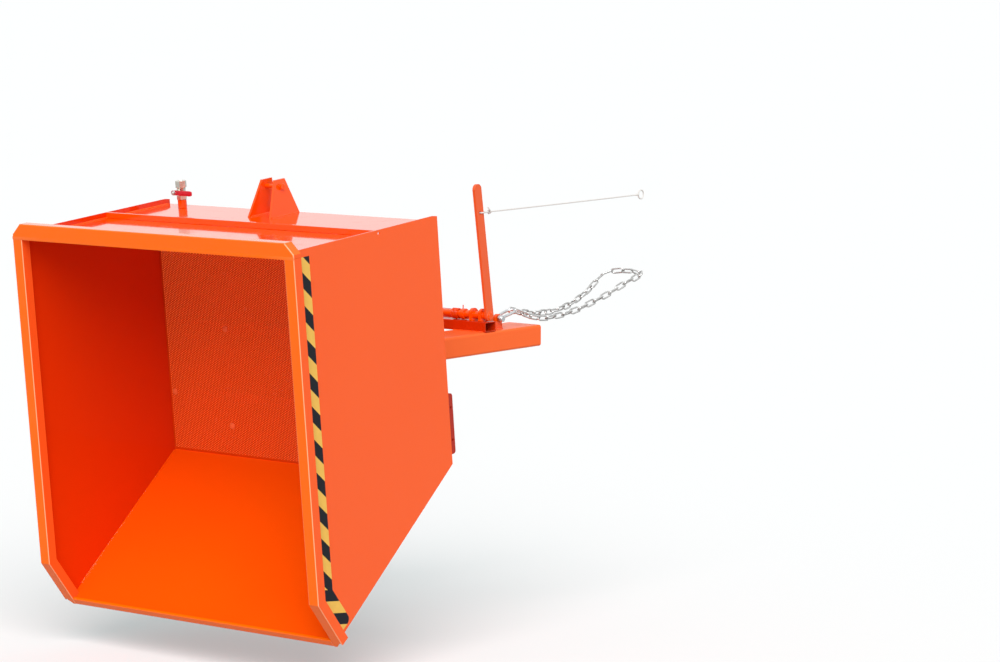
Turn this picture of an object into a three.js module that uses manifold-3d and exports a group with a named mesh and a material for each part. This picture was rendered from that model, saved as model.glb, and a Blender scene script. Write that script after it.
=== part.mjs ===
// A self-dumping hopper on its fork frame, tipped forward onto its stop.
// Millimetres. +X is the way it tips, +Y is to the left of that way, +Z is up.
// The origin is on the centre plane, at the rear mouths of the fork pockets, on their
// inner top faces.
import * as THREE from 'three';
import { mergeVertices } from 'three/addons/utils/BufferGeometryUtils.js';
import Module from 'manifold-3d';

const wasm = await Module();
wasm.setup();

// Gaps between pieces
const fit = 0.3;
const running = 0.1;
const overrun = 5;

// Hopper sheet metal
const bodyWidth = 1208;
const sheet = 4;
const floorLength = 823;
const mouthHeight = 744;
const wallToRimBend = 1124;
const wallToLip = 1291;
const lipHeight = 635.5;
const lipOverChute = 19;
const sideOverWall = 20;
const sideCornerCut = 24;
const sideCornerStep = 4;

// Rim round the mouth
const rimOverhang = 21;
const rimDepth = 36;
const rimSideFace = 42;
const rimRearFace = 48.7;
const rimWall = 4;
const rimCornerCut = 36;
const lipCornerCut = 28;
const lipFace = 26;
const lipThickness = 12;

// False floor and what carries it
const falseFloorHeight = 72.5;
const falseFloorSheet = 3;
const bearerWidth = 40;
const bearerEndGap = 60;
const bearerShares = [0.18, 0.5, 0.8];

// Rear wall stiffener, latch bracket and pin
const stiffenerHeight = 312;
const stiffenerThickness = 8;
const ventRadius = 5;
const ventDrop = 10;
const ventBehindWall = 8;
const latchY = -50;
const bracketFoot = 105;
const bracketTop = 65;
const bracketSheet = 8;
const bracketReach = 122;
const bracketFootLength = 148;
const bracketTopFrom = 42;
const bracketTopTo = 92;
const latchPinRadius = 7;
const latchPinHeight = 70;
const latchPinReach = 98;
const latchPinOverhang = 12;
const pinHeadRadius = 11;
const pinHeadLength = 7;

// Side lashing plates under the floor
const lashingLength = 206;
const lashingFromFold = 239;
const lashingDrop = 20;
const lashingThickness = 8;
const lashingEndRadius = 10;
const lashingHoleRadius = 4.5;
const lashingHoleDrop = 8.5;
const lashingHoleInset = 48;

// Warning tape on the side plates
const tapeWidth = 50;
const tapeFromRim = 10;
const tapeThickness = 0.6;
const tapeStart = 6;
const tapeEndGap = 30;
const tapeEndRadius = 20;

// Drain valve
const drainFromSide = 121;
const drainHeight = 61;
const drainBore = 7.5;
const socketRadius = 15.5;
const socketLength = 29;
const valveHexRadius = 18;
const valveHexLength = 16;
const valveBarrelRadius = 15;
const valveBarrelLength = 26;
const outletHexRadius = 20;
const outletLength = 25;
const ballRadius = 12.5;
const ballBore = 5.5;
const stemRadius = 4;
const stemHeight = 46;
const bonnetRadius = 9;
const bonnetHeight = 30;
const handleLength = 96;
const handleWidth = 17;
const handleThickness = 3;
const handleHeight = 37;
const handleTail = 12;
const handleNutRadius = 8;

// Fork frame
const pocketWidth = 150;
const pocketHeight = 75;
const pocketWall = 5;
const pocketCorner = 9;
const pocketLength = 790;
const pocketPitch = 630;
const crossTubeBehindShaft = 26;
const crossTubeWidth = 60;
const crossTubeHeight = 35;
const crossTubeWall = 4;
const restBeamBehindHinge = 183.6;
const restBeamWidth = 60;
const rearPlateBehindTube = 110;
const rearPlateThickness = 8;
const rearPlateTop = 57;
const rearPlateLap = 14;
const rearNotchHalf = 27;
const rearNotchDepth = 27;
const stopThickness = 8;

// Hinge
const tipAngle = 95.7;
const floorOverPocket = 110;
const hingeUnderFloor = 30;
const hingeFromWall = 357;
const hingePinRadius = 12;
const earRadius = 23;
const earThickness = 10;
const earFoot = 6;
const earFootRear = 60;
const earFootFront = 14;
const lugRadius = 24;
const lugThickness = 12;
const lugSideGap = 3;
const lugFoot = 110;
const hingeHeadRadius = 18;
const hingeHeadLength = 6;

// Release shaft, lever and hook
const leverLean = 8.9;
const latchTravel = 5;
const shaftBehindWall = 140.6;
const shaftHeight = 60;
const shaftRadius = 13;
const leverThickness = 10;
const leverWidth = 38;
const leverLength = 468;
const leverHubGap = 0.6;
const ropeHoleReach = 367;
const ropeHoleRadius = 6;
const leverInset = 4;
const hookThickness = 12;
const hookGrip = 3;
const hookPinGap = 1.5;
const hookArm = 34;
const hookThroat = 16;
const hookCrown = 34;
const hookNose = 6;
const hookNoseLean = 0.6;
const shaftInnerEnd = 42;
const bearingThickness = 10;
const bearingWidth = 40;
const bearingOverShaft = 24;
const outerBearingY = 352;
const middleBearingY = 312;
const hookBearingGap = 30;
const collarFrom = 262;
const collarLength = 16;

// Return spring round the shaft
const springWire = 2;
const springRadius = 17;
const springTurns = 5;
const springFrom = 222;
const springPitch = 6;
const springArm = 29;

// Chain lug, shackle, chain and rope
const chainLugBehindShaft = 86;
const lugY = 350;
const chainLugWidth = 44;
const chainLugTop = 58;
const chainLugThickness = 12;
const chainHoleHeight = 42;
const shacklePinRadius = 6;
const shackleRod = 5;
const shackleHalfWidth = 15;
const shackleLength = 96;
const shackleEyeRadius = 12;
const shackleEyeLength = 12;
const shackleRise = 14;
const chainRadius = 11;
const ropeRadius = 2.5;
const knotRadius = 8;
const knotDistance = 56;
const knotLoopHalfWidth = 8.9;
const loopRadius = 16;

// Facets of a round piece
const fine = 48;
const coarse = 24;

const steelPaint = { roughness: 0.28, metalness: 0.0 };
const orange = new THREE.MeshStandardMaterial({ color: 0xff5a1e, ...steelPaint });
const deepOrange = new THREE.MeshStandardMaterial({ color: 0xe8410f, ...steelPaint });
const zinc = new THREE.MeshStandardMaterial({ color: 0xb9bcc0, roughness: 0.35, metalness: 1 });
const nickel = new THREE.MeshStandardMaterial({ color: 0xcfc8ba, roughness: 0.25, metalness: 1 });
const redPlastic = new THREE.MeshStandardMaterial({ color: 0xb3121f, roughness: 0.4 });
const tapeFilm = new THREE.MeshStandardMaterial({ color: 0xf0b840, roughness: 0.5 });
const ropeFibre = new THREE.MeshStandardMaterial({ color: 0xe9e7e1, roughness: 0.85 });

const radians = THREE.MathUtils.degToRad;

// Outlines and extrusions

const SIDE_VIEW = new THREE.Matrix4().makeBasis(
  new THREE.Vector3(1, 0, 0), new THREE.Vector3(0, 0, 1), new THREE.Vector3(0, -1, 0));
const REAR_VIEW = new THREE.Matrix4().makeBasis(
  new THREE.Vector3(0, 1, 0), new THREE.Vector3(0, 0, 1), new THREE.Vector3(1, 0, 0));

function outline(points, holes = []) {
  const shape = new THREE.Shape(points.map(([a, b]) => new THREE.Vector2(a, b)));
  for (const hole of holes) {
    shape.holes.push(new THREE.Path(hole.map(([a, b]) => new THREE.Vector2(a, b))));
  }
  return shape;
}

function extruded(points, depth, holes) {
  return new THREE.ExtrudeGeometry(outline(points, holes), { depth, bevelEnabled: false });
}

// A plate seen from the side: its outline in X and Z, from one Y to another.
function sidePlate(points, yFrom, yTo, holes) {
  return extruded(points, yTo - yFrom, holes).applyMatrix4(SIDE_VIEW).translate(0, yTo, 0);
}

// A bar seen from behind: its outline in Y and Z, from one X to another.
function lengthwise(points, xFrom, xTo, holes) {
  return extruded(points, xTo - xFrom, holes).applyMatrix4(REAR_VIEW).translate(xFrom, 0, 0);
}

// A flat piece seen from above: its outline in X and Y, from one Z to another.
function layer(points, zFrom, zTo, holes) {
  return extruded(points, zTo - zFrom, holes).translate(0, 0, zFrom);
}

function rectangle(a0, b0, a1, b1) {
  return [[a0, b0], [a1, b0], [a1, b1], [a0, b1]];
}

function arc(a, b, radius, from, to, steps) {
  return Array.from({ length: steps + 1 }, (_, i) => {
    const angle = radians(from + (to - from) * i / steps);
    return [a + radius * Math.cos(angle), b + radius * Math.sin(angle)];
  });
}

function circle(a, b, radius, steps = fine) {
  return arc(a, b, radius, 0, 360, steps).slice(0, steps);
}

function roundedRectangle(a0, b0, a1, b1, r) {
  const quarter = 6;
  return [
    ...arc(a1 - r, b1 - r, r, 0, 90, quarter), ...arc(a0 + r, b1 - r, r, 90, 180, quarter),
    ...arc(a0 + r, b0 + r, r, 180, 270, quarter), ...arc(a1 - r, b0 + r, r, 270, 360, quarter)];
}

function rodAlongY(x, z, radius, yFrom, yTo, sides = fine) {
  return new THREE.CylinderGeometry(radius, radius, yTo - yFrom, sides)
    .translate(x, (yFrom + yTo) / 2, z);
}

function rodAlongX(y, z, radius, xFrom, xTo, sides = fine) {
  return new THREE.CylinderGeometry(radius, radius, xTo - xFrom, sides)
    .rotateZ(-Math.PI / 2).translate((xFrom + xTo) / 2, y, z);
}

function rodAlongZ(x, y, radius, zFrom, zTo, sides = fine) {
  return new THREE.CylinderGeometry(radius, radius, zTo - zFrom, sides)
    .rotateX(Math.PI / 2).translate(x, y, (zFrom + zTo) / 2);
}

function tubeAlong(points, radius, sides, steps) {
  const path = new THREE.CatmullRomCurve3(points.map((p) => new THREE.Vector3(...p)));
  return new THREE.ExtrudeGeometry(outline(circle(0, 0, radius, sides)), {
    steps, extrudePath: path, bevelEnabled: false });
}

// Cuts and joins

function toSolid(geometry) {
  const bare = geometry.clone();
  bare.deleteAttribute('normal');
  bare.deleteAttribute('uv');
  const merged = mergeVertices(bare);
  const triVerts = merged.index
    ? merged.index.array : Uint32Array.from({ length: merged.attributes.position.count }, (_, i) => i);
  return new wasm.Manifold(new wasm.Mesh({
    numProp: 3,
    vertProperties: new Float32Array(merged.attributes.position.array),
    triVerts: new Uint32Array(triVerts) }));
}

function toGeometry(solid) {
  const mesh = solid.getMesh();
  const geometry = new THREE.BufferGeometry();
  geometry.setAttribute('position', new THREE.BufferAttribute(mesh.vertProperties, 3));
  geometry.setIndex(new THREE.BufferAttribute(mesh.triVerts, 1));
  const flat = geometry.toNonIndexed();
  flat.computeVertexNormals();
  return flat;
}

function cut(geometry, ...tools) {
  return toGeometry(tools.reduce((solid, tool) => solid.subtract(toSolid(tool)), toSolid(geometry)));
}

function join(geometry, ...others) {
  return toGeometry(others.reduce((solid, other) => solid.add(toSolid(other)), toSolid(geometry)));
}

function add(parent, name, geometry, material) {
  const mesh = new THREE.Mesh(geometry, material);
  mesh.name = name;
  parent.add(mesh);
  return mesh;
}

const SIDES = [['left', 1], ['right', -1]];

// A span of Y on the left side, or its mirror image on the right.
function span(sign, from, to) {
  return sign > 0 ? [from, to] : [-to, -from];
}

const group = new THREE.Group();

// Fork frame: pockets, cross members and stops

const pocketTop = pocketWall;
const pocketBottom = pocketTop - pocketHeight;
const pocketInner = (pocketPitch - pocketWidth) / 2;
const pocketOuter = pocketInner + pocketWidth;
const onPocket = pocketTop + fit;
const floorHeight = pocketTop + floorOverPocket;
const hingeHeight = floorHeight - hingeUnderFloor;
const pastVertical = radians(tipAngle - 90);

// The hinge stands where the tipped floor just meets the stops at the pockets' front ends.
const hingeX = pocketLength + fit + stopThickness
  - (hingeUnderFloor + (pocketBottom - hingeHeight) * Math.sin(pastVertical)) / Math.cos(pastVertical);

// X of the tipped floor's underside at a height.
function tippedFloorX(z) {
  return hingeX + (hingeUnderFloor + (z - hingeHeight) * Math.sin(pastVertical)) / Math.cos(pastVertical);
}

// Where the upright hopper's rear wall, the release shaft and the cross members stand.
const wallX = hingeX - hingeFromWall;
const shaftX = wallX - shaftBehindWall;
const crossTubeFrom = shaftX - crossTubeBehindShaft;
const restBeamFrom = hingeX - restBeamBehindHinge;
const rearPlateFrom = crossTubeFrom - rearPlateBehindTube;
const lugX = shaftX - chainLugBehindShaft;

for (const [side, sign] of SIDES) {
  const [yFrom, yTo] = span(sign, pocketInner, pocketOuter);
  const section = roundedRectangle(yFrom, pocketBottom, yTo, pocketTop, pocketCorner);
  const hollow = roundedRectangle(yFrom + pocketWall, pocketBottom + pocketWall,
    yTo - pocketWall, pocketTop - pocketWall, pocketCorner - pocketWall);
  add(group, `fork_pocket_${side}`, lengthwise(section, 0, pocketLength, [hollow]), orange);

  const stopRear = pocketLength + fit;
  const stop = [[stopRear, pocketBottom], [tippedFloorX(pocketBottom) - fit, pocketBottom],
    [tippedFloorX(pocketTop) - fit, pocketTop], [stopRear, pocketTop]];
  add(group, `dump_stop_${side}`, sidePlate(stop, yFrom, yTo), deepOrange);
}

function boxTube(xFrom, xTo, zFrom, zTo, wall) {
  return sidePlate(rectangle(xFrom, zFrom, xTo, zTo), -pocketOuter, pocketOuter,
    [rectangle(xFrom + wall, zFrom + wall, xTo - wall, zTo - wall)]);
}

const crossTubeTop = onPocket + crossTubeHeight;
add(group, 'cross_tube',
  boxTube(crossTubeFrom, crossTubeFrom + crossTubeWidth, onPocket, crossTubeTop, crossTubeWall), orange);
add(group, 'rest_beam',
  boxTube(restBeamFrom, restBeamFrom + restBeamWidth, onPocket, floorHeight - fit, crossTubeWall), orange);

const rearPlateHalf = pocketInner + rearPlateLap;
const notchFrom = latchY - rearNotchHalf;
const notchTo = latchY + rearNotchHalf;
const notchFloor = rearPlateTop - rearNotchDepth;
const rearPlateOutline = [
  [-rearPlateHalf, onPocket], [rearPlateHalf, onPocket], [rearPlateHalf, rearPlateTop],
  [notchTo, rearPlateTop], [notchTo, notchFloor], [notchFrom, notchFloor],
  [notchFrom, rearPlateTop], [-rearPlateHalf, rearPlateTop]];
add(group, 'rear_cross_plate',
  lengthwise(rearPlateOutline, rearPlateFrom, rearPlateFrom + rearPlateThickness), orange);

// Hinge brackets and pins on the frame

const lugCentre = pocketPitch / 2;
const earInnerFrom = lugCentre - lugThickness / 2 - lugSideGap - earThickness;
const earOuterTo = lugCentre + lugThickness / 2 + lugSideGap + earThickness;

function earOutline(zFoot) {
  return [[hingeX - earFootRear, zFoot], [hingeX + earFootFront, zFoot],
    ...arc(hingeX, hingeHeight, earRadius, 0, 180, coarse)];
}

for (const [side, sign] of SIDES) {
  const inner = span(sign, earInnerFrom, earInnerFrom + earThickness);
  const outer = span(sign, earOuterTo - earThickness, earOuterTo);
  const whole = span(sign, earInnerFrom, earOuterTo);
  const foot = rectangle(hingeX - earFootRear, onPocket, hingeX + earFootFront, onPocket + earFoot);
  const bracket = cut(
    join(sidePlate(foot, ...whole), sidePlate(earOutline(onPocket), ...inner),
      sidePlate(earOutline(onPocket), ...outer)),
    rodAlongY(hingeX, hingeHeight, hingePinRadius + fit, whole[0] - overrun, whole[1] + overrun));
  add(group, `hinge_bracket_${side}`, bracket, orange);

  const pinFrom = earInnerFrom - fit - hingeHeadLength;
  const pinTo = earOuterTo + fit + hingeHeadLength;
  const pin = join(
    rodAlongY(hingeX, hingeHeight, hingePinRadius, ...span(sign, pinFrom, pinTo)),
    rodAlongY(hingeX, hingeHeight, hingeHeadRadius, ...span(sign, pinTo - hingeHeadLength, pinTo)),
    rodAlongY(hingeX, hingeHeight, hingeHeadRadius, ...span(sign, pinFrom, pinFrom + hingeHeadLength)));
  add(group, `hinge_pin_${side}`, pin, zinc);
}

// Bearings of the release shaft, welded on the cross tube

const onCrossTube = crossTubeTop + fit;

function bearing(y) {
  const half = bearingThickness / 2;
  const plate = [[shaftX - bearingWidth / 2, onCrossTube], [shaftX + bearingWidth / 2, onCrossTube],
    ...arc(shaftX, shaftHeight, bearingOverShaft, 30, 150, coarse)];
  return cut(sidePlate(plate, y - half, y + half),
    rodAlongY(shaftX, shaftHeight, shaftRadius + running, y - half - overrun, y + half + overrun));
}

add(group, 'shaft_bearing_outer', bearing(outerBearingY), orange);
add(group, 'shaft_bearing_middle', bearing(middleBearingY), orange);
add(group, 'shaft_bearing_hook_left', bearing(latchY + hookBearingGap), orange);
add(group, 'shaft_bearing_hook_right', bearing(latchY - hookBearingGap), orange);

// Return spring: one unbroken wire, with a foot on the cross tube

const curlSteps = 8;
const springStart = -90;
const springPoints = Array.from({ length: springTurns * curlSteps + 1 }, (_, i) => {
  const angle = radians(springStart + 360 * i / curlSteps);
  return [shaftX + springRadius * Math.sin(angle), springFrom + springPitch * i / curlSteps,
    shaftHeight + springRadius * Math.cos(angle)];
});
const springEnd = springPoints[springPoints.length - 1];
const footX = springPoints[0][0];
const armTop = shaftHeight + springArm;
const springFoot = [[footX, springFrom, onCrossTube], [footX, springFrom, onCrossTube + 2 * springWire]];
const springArmEnd = [[springEnd[0], springEnd[1], armTop - 2 * springWire],
  [springEnd[0], springEnd[1], armTop]];
add(group, 'return_spring',
  tubeAlong([...springFoot, ...springPoints, ...springArmEnd], springWire, 5,
    springTurns * curlSteps + 5), deepOrange);

// The spring's least gap to itself, measured between points at least half a turn apart
const springVectors = springPoints.map((p) => new THREE.Vector3(...p));
const springGaps = springVectors.flatMap((a, i) =>
  springVectors.slice(i + curlSteps / 2).map((b) => a.distanceTo(b) - 2 * springWire));
console.log('least gap of the return spring to itself', Math.min(...springGaps).toFixed(2));

// Chain lug, shackle and its pin

const chainLugOutline = [[lugX - chainLugWidth / 2, onPocket], [lugX + chainLugWidth / 2, onPocket],
  ...arc(lugX, chainHoleHeight, chainLugTop - chainHoleHeight, 0, 180, coarse)];
add(group, 'chain_lug',
  cut(sidePlate(chainLugOutline, lugY - chainLugThickness / 2, lugY + chainLugThickness / 2),
    rodAlongY(lugX, chainHoleHeight, shacklePinRadius + fit, lugY - chainLugWidth, lugY + chainLugWidth)),
  orange);

const eyeInner = shackleHalfWidth - shackleEyeLength / 2;
const eyeOuter = shackleHalfWidth + shackleEyeLength / 2;
const bowShares = [[0, 1], [0.3, 1.05], [0.6, 1.25], [0.86, 1], [1, 0], [0.86, -1], [0.6, -1.25],
  [0.3, -1.05], [0, -1]];
const bowPoints = bowShares.map(
  ([lengthShare, widthShare]) => [-shackleLength * lengthShare, shackleHalfWidth * widthShare, 0]);
const shackle = cut(
  join(tubeAlong(bowPoints, shackleRod, 10, 28),
    rodAlongY(0, 0, shackleEyeRadius, eyeInner, eyeOuter, coarse),
    rodAlongY(0, 0, shackleEyeRadius, -eyeOuter, -eyeInner, coarse)),
  rodAlongY(0, 0, shacklePinRadius + fit, -eyeOuter - overrun, eyeOuter + overrun));
const shackleMesh = add(group, 'shackle', shackle, zinc);
shackleMesh.position.set(lugX, lugY, chainHoleHeight);
shackleMesh.rotation.y = radians(shackleRise);
add(group, 'shackle_pin', join(
  rodAlongY(lugX, chainHoleHeight, shacklePinRadius, lugY - eyeOuter - fit, lugY + eyeOuter + fit),
  rodAlongY(lugX, chainHoleHeight, shackleEyeRadius, lugY + eyeOuter + fit,
    lugY + eyeOuter + fit + shackleRod, coarse),
  rodAlongY(lugX, chainHoleHeight, shackleEyeRadius, lugY - eyeOuter - fit - shackleRod,
    lugY - eyeOuter - fit, coarse)), zinc);

// Safety chain: from the shackle, out in one long loop, and back to the shackle
const chainRoute = [
  [104.4, 336, 62], [50, 330, 52], [-10, 325, 43], [-78, 318, 36], [-146, 311, 33], [-229, 302, 38],
  [-300, 294, 48], [-371, 287, 68], [-442, 279, 93], [-505, 272, 126], [-545, 285, 146],
  [-563, 318, 152], [-566, 360, 153], [-560, 400, 152], [-545, 430, 149], [-512, 441, 141],
  [-452, 433, 123], [-367, 422, 91], [-282, 411, 66], [-214, 403, 47], [-138, 393, 33],
  [-62, 383, 26], [-1, 376, 28], [50, 368, 41], [104.4, 361, 60]];
add(group, 'safety_chain', tubeAlong(chainRoute, chainRadius, 8, 60), zinc);

// Release rope: from the knot at the lever to its end loop
const ropeRoute = [
  [278.4, 381, 423], [230, 384, 423.8], [180, 387.2, 424.6], [130, 390.3, 425.5], [80, 393.5, 426.4],
  [30, 396.7, 427.3], [-20, 399.8, 428.3], [-70, 403, 429.2], [-120, 406.2, 430.2],
  [-170, 409.3, 431.2], [-220, 412.5, 432.2], [-270, 415.7, 433.2], [-320, 418.8, 434.3],
  [-370, 422, 435.3], [-420, 425.2, 436.4], [-470, 428.3, 437.5], [-525, 431.8, 438.7]];
add(group, 'release_rope', tubeAlong(ropeRoute, ropeRadius, 8, 66), ropeFibre);

const [ropeEndX, ropeEndY, ropeEndZ] = ropeRoute[ropeRoute.length - 1];
add(group, 'rope_end_loop',
  new THREE.TorusGeometry(loopRadius, ropeRadius, 10, coarse).rotateX(Math.PI / 2)
    .translate(ropeEndX - fit - loopRadius - ropeRadius, ropeEndY, ropeEndZ), ropeFibre);

// Release shaft with its lever, collar, knot and hook, leaning as photographed

const leverY = pocketOuter - leverInset - leverThickness;
const leverGroup = new THREE.Group();
leverGroup.position.set(shaftX, 0, shaftHeight);
leverGroup.rotation.y = radians(leverLean);
group.add(leverGroup);

add(leverGroup, 'release_shaft',
  rodAlongY(0, 0, shaftRadius, latchY - shaftInnerEnd, leverY + leverThickness + leverInset), orange);

const hubRadius = shaftHeight - crossTubeTop - leverHubGap;
const leverOutline = [
  ...arc(0, 0, hubRadius, 180, 360, coarse),
  ...arc(0, leverLength - leverWidth / 2, leverWidth / 2, 0, 180, coarse)];
add(leverGroup, 'release_lever',
  sidePlate(leverOutline, leverY, leverY + leverThickness,
    [circle(0, 0, shaftRadius + fit), circle(0, ropeHoleReach, ropeHoleRadius, coarse)]), orange);

add(leverGroup, 'spring_collar',
  sidePlate(circle(0, 0, hubRadius), collarFrom, collarFrom + collarLength,
    [circle(0, 0, shaftRadius + fit)]), orange);

// The rope's eye goes through the lever's hole and round its rear edge, level with the pockets.
const eyeShares = [[0.9, 0.14], [0.7, 0.62], [0.45, 0.96], [0.2, 1], [0.1, 0.97], [0.052, 0.58], [0.048, 0]];
const eyePoint = ([lengthShare, widthShare]) => [
  -knotDistance * lengthShare, knotLoopHalfWidth * widthShare, 0];
const eyePoints = [...eyeShares, ...eyeShares.slice(0, -1).reverse().map(([a, b]) => [a, -b])]
  .map(eyePoint);
const knot = add(leverGroup, 'rope_knot', join(
  new THREE.SphereGeometry(knotRadius, 16, 12).translate(-knotDistance, 0, 0),
  tubeAlong(eyePoints, ropeRadius, 8, 44)), ropeFibre);
knot.position.set(0, leverY + leverThickness / 2, ropeHoleReach);
knot.rotation.y = -radians(leverLean);

// The hook is drawn as it stands when latched, with the upright hopper's pin in its throat.
const pinX = wallX - latchPinReach - shaftX;
const pinZ = floorHeight + latchPinHeight - shaftHeight;
const throatX = pinX - latchPinRadius - hookPinGap;
const beakZ = pinZ + latchPinRadius + hookPinGap;
const hookOutline = [
  ...arc(0, 0, hubRadius, 180, 360, coarse),
  [throatX, beakZ - hookThroat], [throatX, beakZ], [pinX + hookGrip, beakZ],
  [pinX + hookGrip + hookNoseLean, beakZ + hookNose], [throatX - hookArm / 2, beakZ + hookCrown],
  [throatX - hookArm, beakZ + hookNose], [throatX - hookArm, beakZ - hookThroat]];
const hook = add(leverGroup, 'latch_hook',
  sidePlate(hookOutline, latchY - hookThickness / 2, latchY + hookThickness / 2,
    [circle(0, 0, shaftRadius + fit)]), deepOrange);
hook.rotation.y = -radians(leverLean + latchTravel);

// Hopper, drawn upright from its rear wall and floor, then tipped about its hinge

const tipped = new THREE.Group();
tipped.position.set(hingeX, 0, hingeHeight);
tipped.rotation.y = radians(tipAngle);
group.add(tipped);
const hopper = new THREE.Group();
hopper.position.set(-hingeFromWall, 0, hingeUnderFloor);
tipped.add(hopper);

const plateOuter = bodyWidth / 2;
const plateInner = plateOuter - sheet;
const between = plateInner - fit;
const rimOuter = plateOuter + rimOverhang;
const rimInner = rimOuter - rimSideFace;

// The rim's front runs level from the wall, then slopes down to the lip.
const slope = new THREE.Vector2(wallToLip - wallToRimBend, lipHeight - mouthHeight).normalize();
const bendTangent = Math.tan(Math.atan2(-slope.y, slope.x) / 2);

// The front line of the rim, moved inward by a depth, from a start to the lip's end.
function rimLine(depth, start) {
  const bend = [wallToRimBend - depth * bendTangent, mouthHeight - depth];
  const end = [wallToLip + slope.y * depth, lipHeight - slope.x * depth];
  return [[start, mouthHeight - depth], bend, end];
}

function along(point, distance) {
  return [point[0] + slope.x * distance, point[1] + slope.y * distance];
}

const chuteTop = [wallToLip - lipOverChute, lipHeight];
const chuteRun = new THREE.Vector2(chuteTop[0] - floorLength, chuteTop[1]).normalize();

// A point at a height on the chute's sheet, moved inward by a depth.
function onChute(height, depth) {
  const run = (height - depth * chuteRun.x) / chuteRun.y;
  return [floorLength + chuteRun.x * run - chuteRun.y * depth, height];
}

// A point where the rim line at a depth meets the chute's sheet, moved inward by its own depth.
function chuteAtRim(depth, inward) {
  const [, , end] = rimLine(depth, 0);
  const normal = new THREE.Vector2(-chuteRun.y, chuteRun.x);
  const offset = (floorLength - end[0]) * normal.x - end[1] * normal.y + inward;
  return along(end, offset / (slope.x * normal.x + slope.y * normal.y));
}

// Side plates
const plateDepth = rimWall + fit;
const [plateStart, plateBend] = rimLine(plateDepth, rimWall + fit);
const plateEnd = chuteAtRim(plateDepth, 0);
const rimUnder = mouthHeight - rimDepth - fit;
for (const [side, sign] of SIDES) {
  const plate = [
    [sideCornerStep - sideOverWall, 0], [floorLength, 0], plateEnd, plateBend,
    plateStart, [rimWall + fit, rimUnder], [-sideOverWall, rimUnder], [-sideOverWall, sideCornerCut]];
  const vent = circle(-ventBehindWall, stiffenerHeight - ventDrop, ventRadius, coarse);
  add(hopper, `side_plate_${side}`, sidePlate(plate, ...span(sign, plateInner, plateOuter), [vent]), orange);
}

// Rear wall, floor and chute
const drainY = drainFromSide - plateOuter;
const drainHole = rodAlongX(drainY, drainHeight, drainBore, -overrun, sheet + overrun);
const betweenRims = rimInner - fit;
const wallOutline = [[-between, sheet + fit], [between, sheet + fit], [between, rimUnder],
  [betweenRims, rimUnder], [betweenRims, mouthHeight], [-betweenRims, mouthHeight],
  [-betweenRims, rimUnder], [-between, rimUnder]];
add(hopper, 'rear_wall', cut(lengthwise(wallOutline, 0, sheet), drainHole), orange);
const foldInner = onChute(sheet, sheet);
add(hopper, 'floor_plate',
  sidePlate([[0, 0], [floorLength - fit, 0], [foldInner[0] - fit, sheet], [0, sheet]],
    -between, between), orange);
const lipBack = lipThickness + fit;
const chuteShoulder = rimDepth + fit;
add(hopper, 'chute_plate', join(
  sidePlate([[floorLength, 0], chuteAtRim(chuteShoulder, 0), chuteAtRim(chuteShoulder, sheet), foldInner],
    -between, between),
  sidePlate([onChute(lipHeight / 2, 0), chuteAtRim(lipBack, 0), chuteAtRim(lipBack, sheet),
    onChute(lipHeight / 2, sheet)], -betweenRims, betweenRims)), orange);

// False floor on its bearers
const falseFloorUnder = falseFloorHeight - falseFloorSheet;
add(hopper, 'false_floor',
  sidePlate([[sheet + fit, falseFloorUnder], [onChute(falseFloorUnder, sheet + fit)[0], falseFloorUnder],
    [onChute(falseFloorHeight, sheet + fit)[0], falseFloorHeight], [sheet + fit, falseFloorHeight]],
  -between, between), orange);
bearerShares.forEach((share, i) => {
  const middle = share * floorLength;
  const section = rectangle(middle - bearerWidth / 2, sheet + fit, middle + bearerWidth / 2,
    falseFloorUnder - fit);
  const hollow = rectangle(middle - bearerWidth / 2 + sheet, 2 * sheet + fit,
    middle + bearerWidth / 2 - sheet, falseFloorUnder - sheet - fit);
  add(hopper, `floor_bearer_${i + 1}`,
    sidePlate(section, bearerEndGap - between, between - bearerEndGap, [hollow]), orange);
});

// Rim: a folded channel, open at the back, round the rear and the sides, and a flat lip
const rearTo = -fit;
const rearFrom = rearTo - rimRearFace;
const rimBack = mouthHeight - rimDepth;
const rearOutline = [
  [rearTo, -rimOuter], [rearTo, rimOuter], [rearFrom + rimCornerCut, rimOuter],
  [rearFrom, rimOuter - rimCornerCut], [rearFrom, rimCornerCut - rimOuter],
  [rearFrom + rimCornerCut, -rimOuter]];
const rearChannel = layer(
  rectangle(rearFrom + rimWall, rimCornerCut - rimOuter, rearTo - rimWall, rimOuter - rimCornerCut),
  rimBack - overrun, mouthHeight - rimWall);
add(hopper, 'rim_rear', cut(layer(rearOutline, rimBack, mouthHeight), rearChannel), orange);

for (const [side, sign] of SIDES) {
  const front = rimLine(0, 0);
  const back = rimLine(rimDepth, 0);
  const band = [...front, ...back.slice().reverse()];
  const channel = [...rimLine(rimWall, rimWall), ...rimLine(rimDepth + overrun, rimWall).reverse()];
  channel[2] = along(channel[2], -rimWall);
  channel[3] = along(channel[3], -rimWall);
  const cornerCut = new THREE.BoxGeometry(2 * lipCornerCut, lipCornerCut * Math.SQRT2, 3 * rimDepth);
  cornerCut.translate(0, lipCornerCut / Math.SQRT2, 0);
  cornerCut.rotateZ(-Math.PI / 4);
  cornerCut.translate(0, -lipCornerCut, 0);
  if (sign < 0) cornerCut.rotateX(Math.PI);
  cornerCut.rotateY(Math.atan2(-slope.y, slope.x));
  cornerCut.translate(wallToLip, sign * rimOuter, lipHeight);
  add(hopper, `rim_side_${side}`,
    cut(sidePlate(band, ...span(sign, rimInner, rimOuter)),
      sidePlate(channel, ...span(sign, rimInner + rimWall, rimOuter - rimWall)),
      cornerCut), orange);
}

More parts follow.
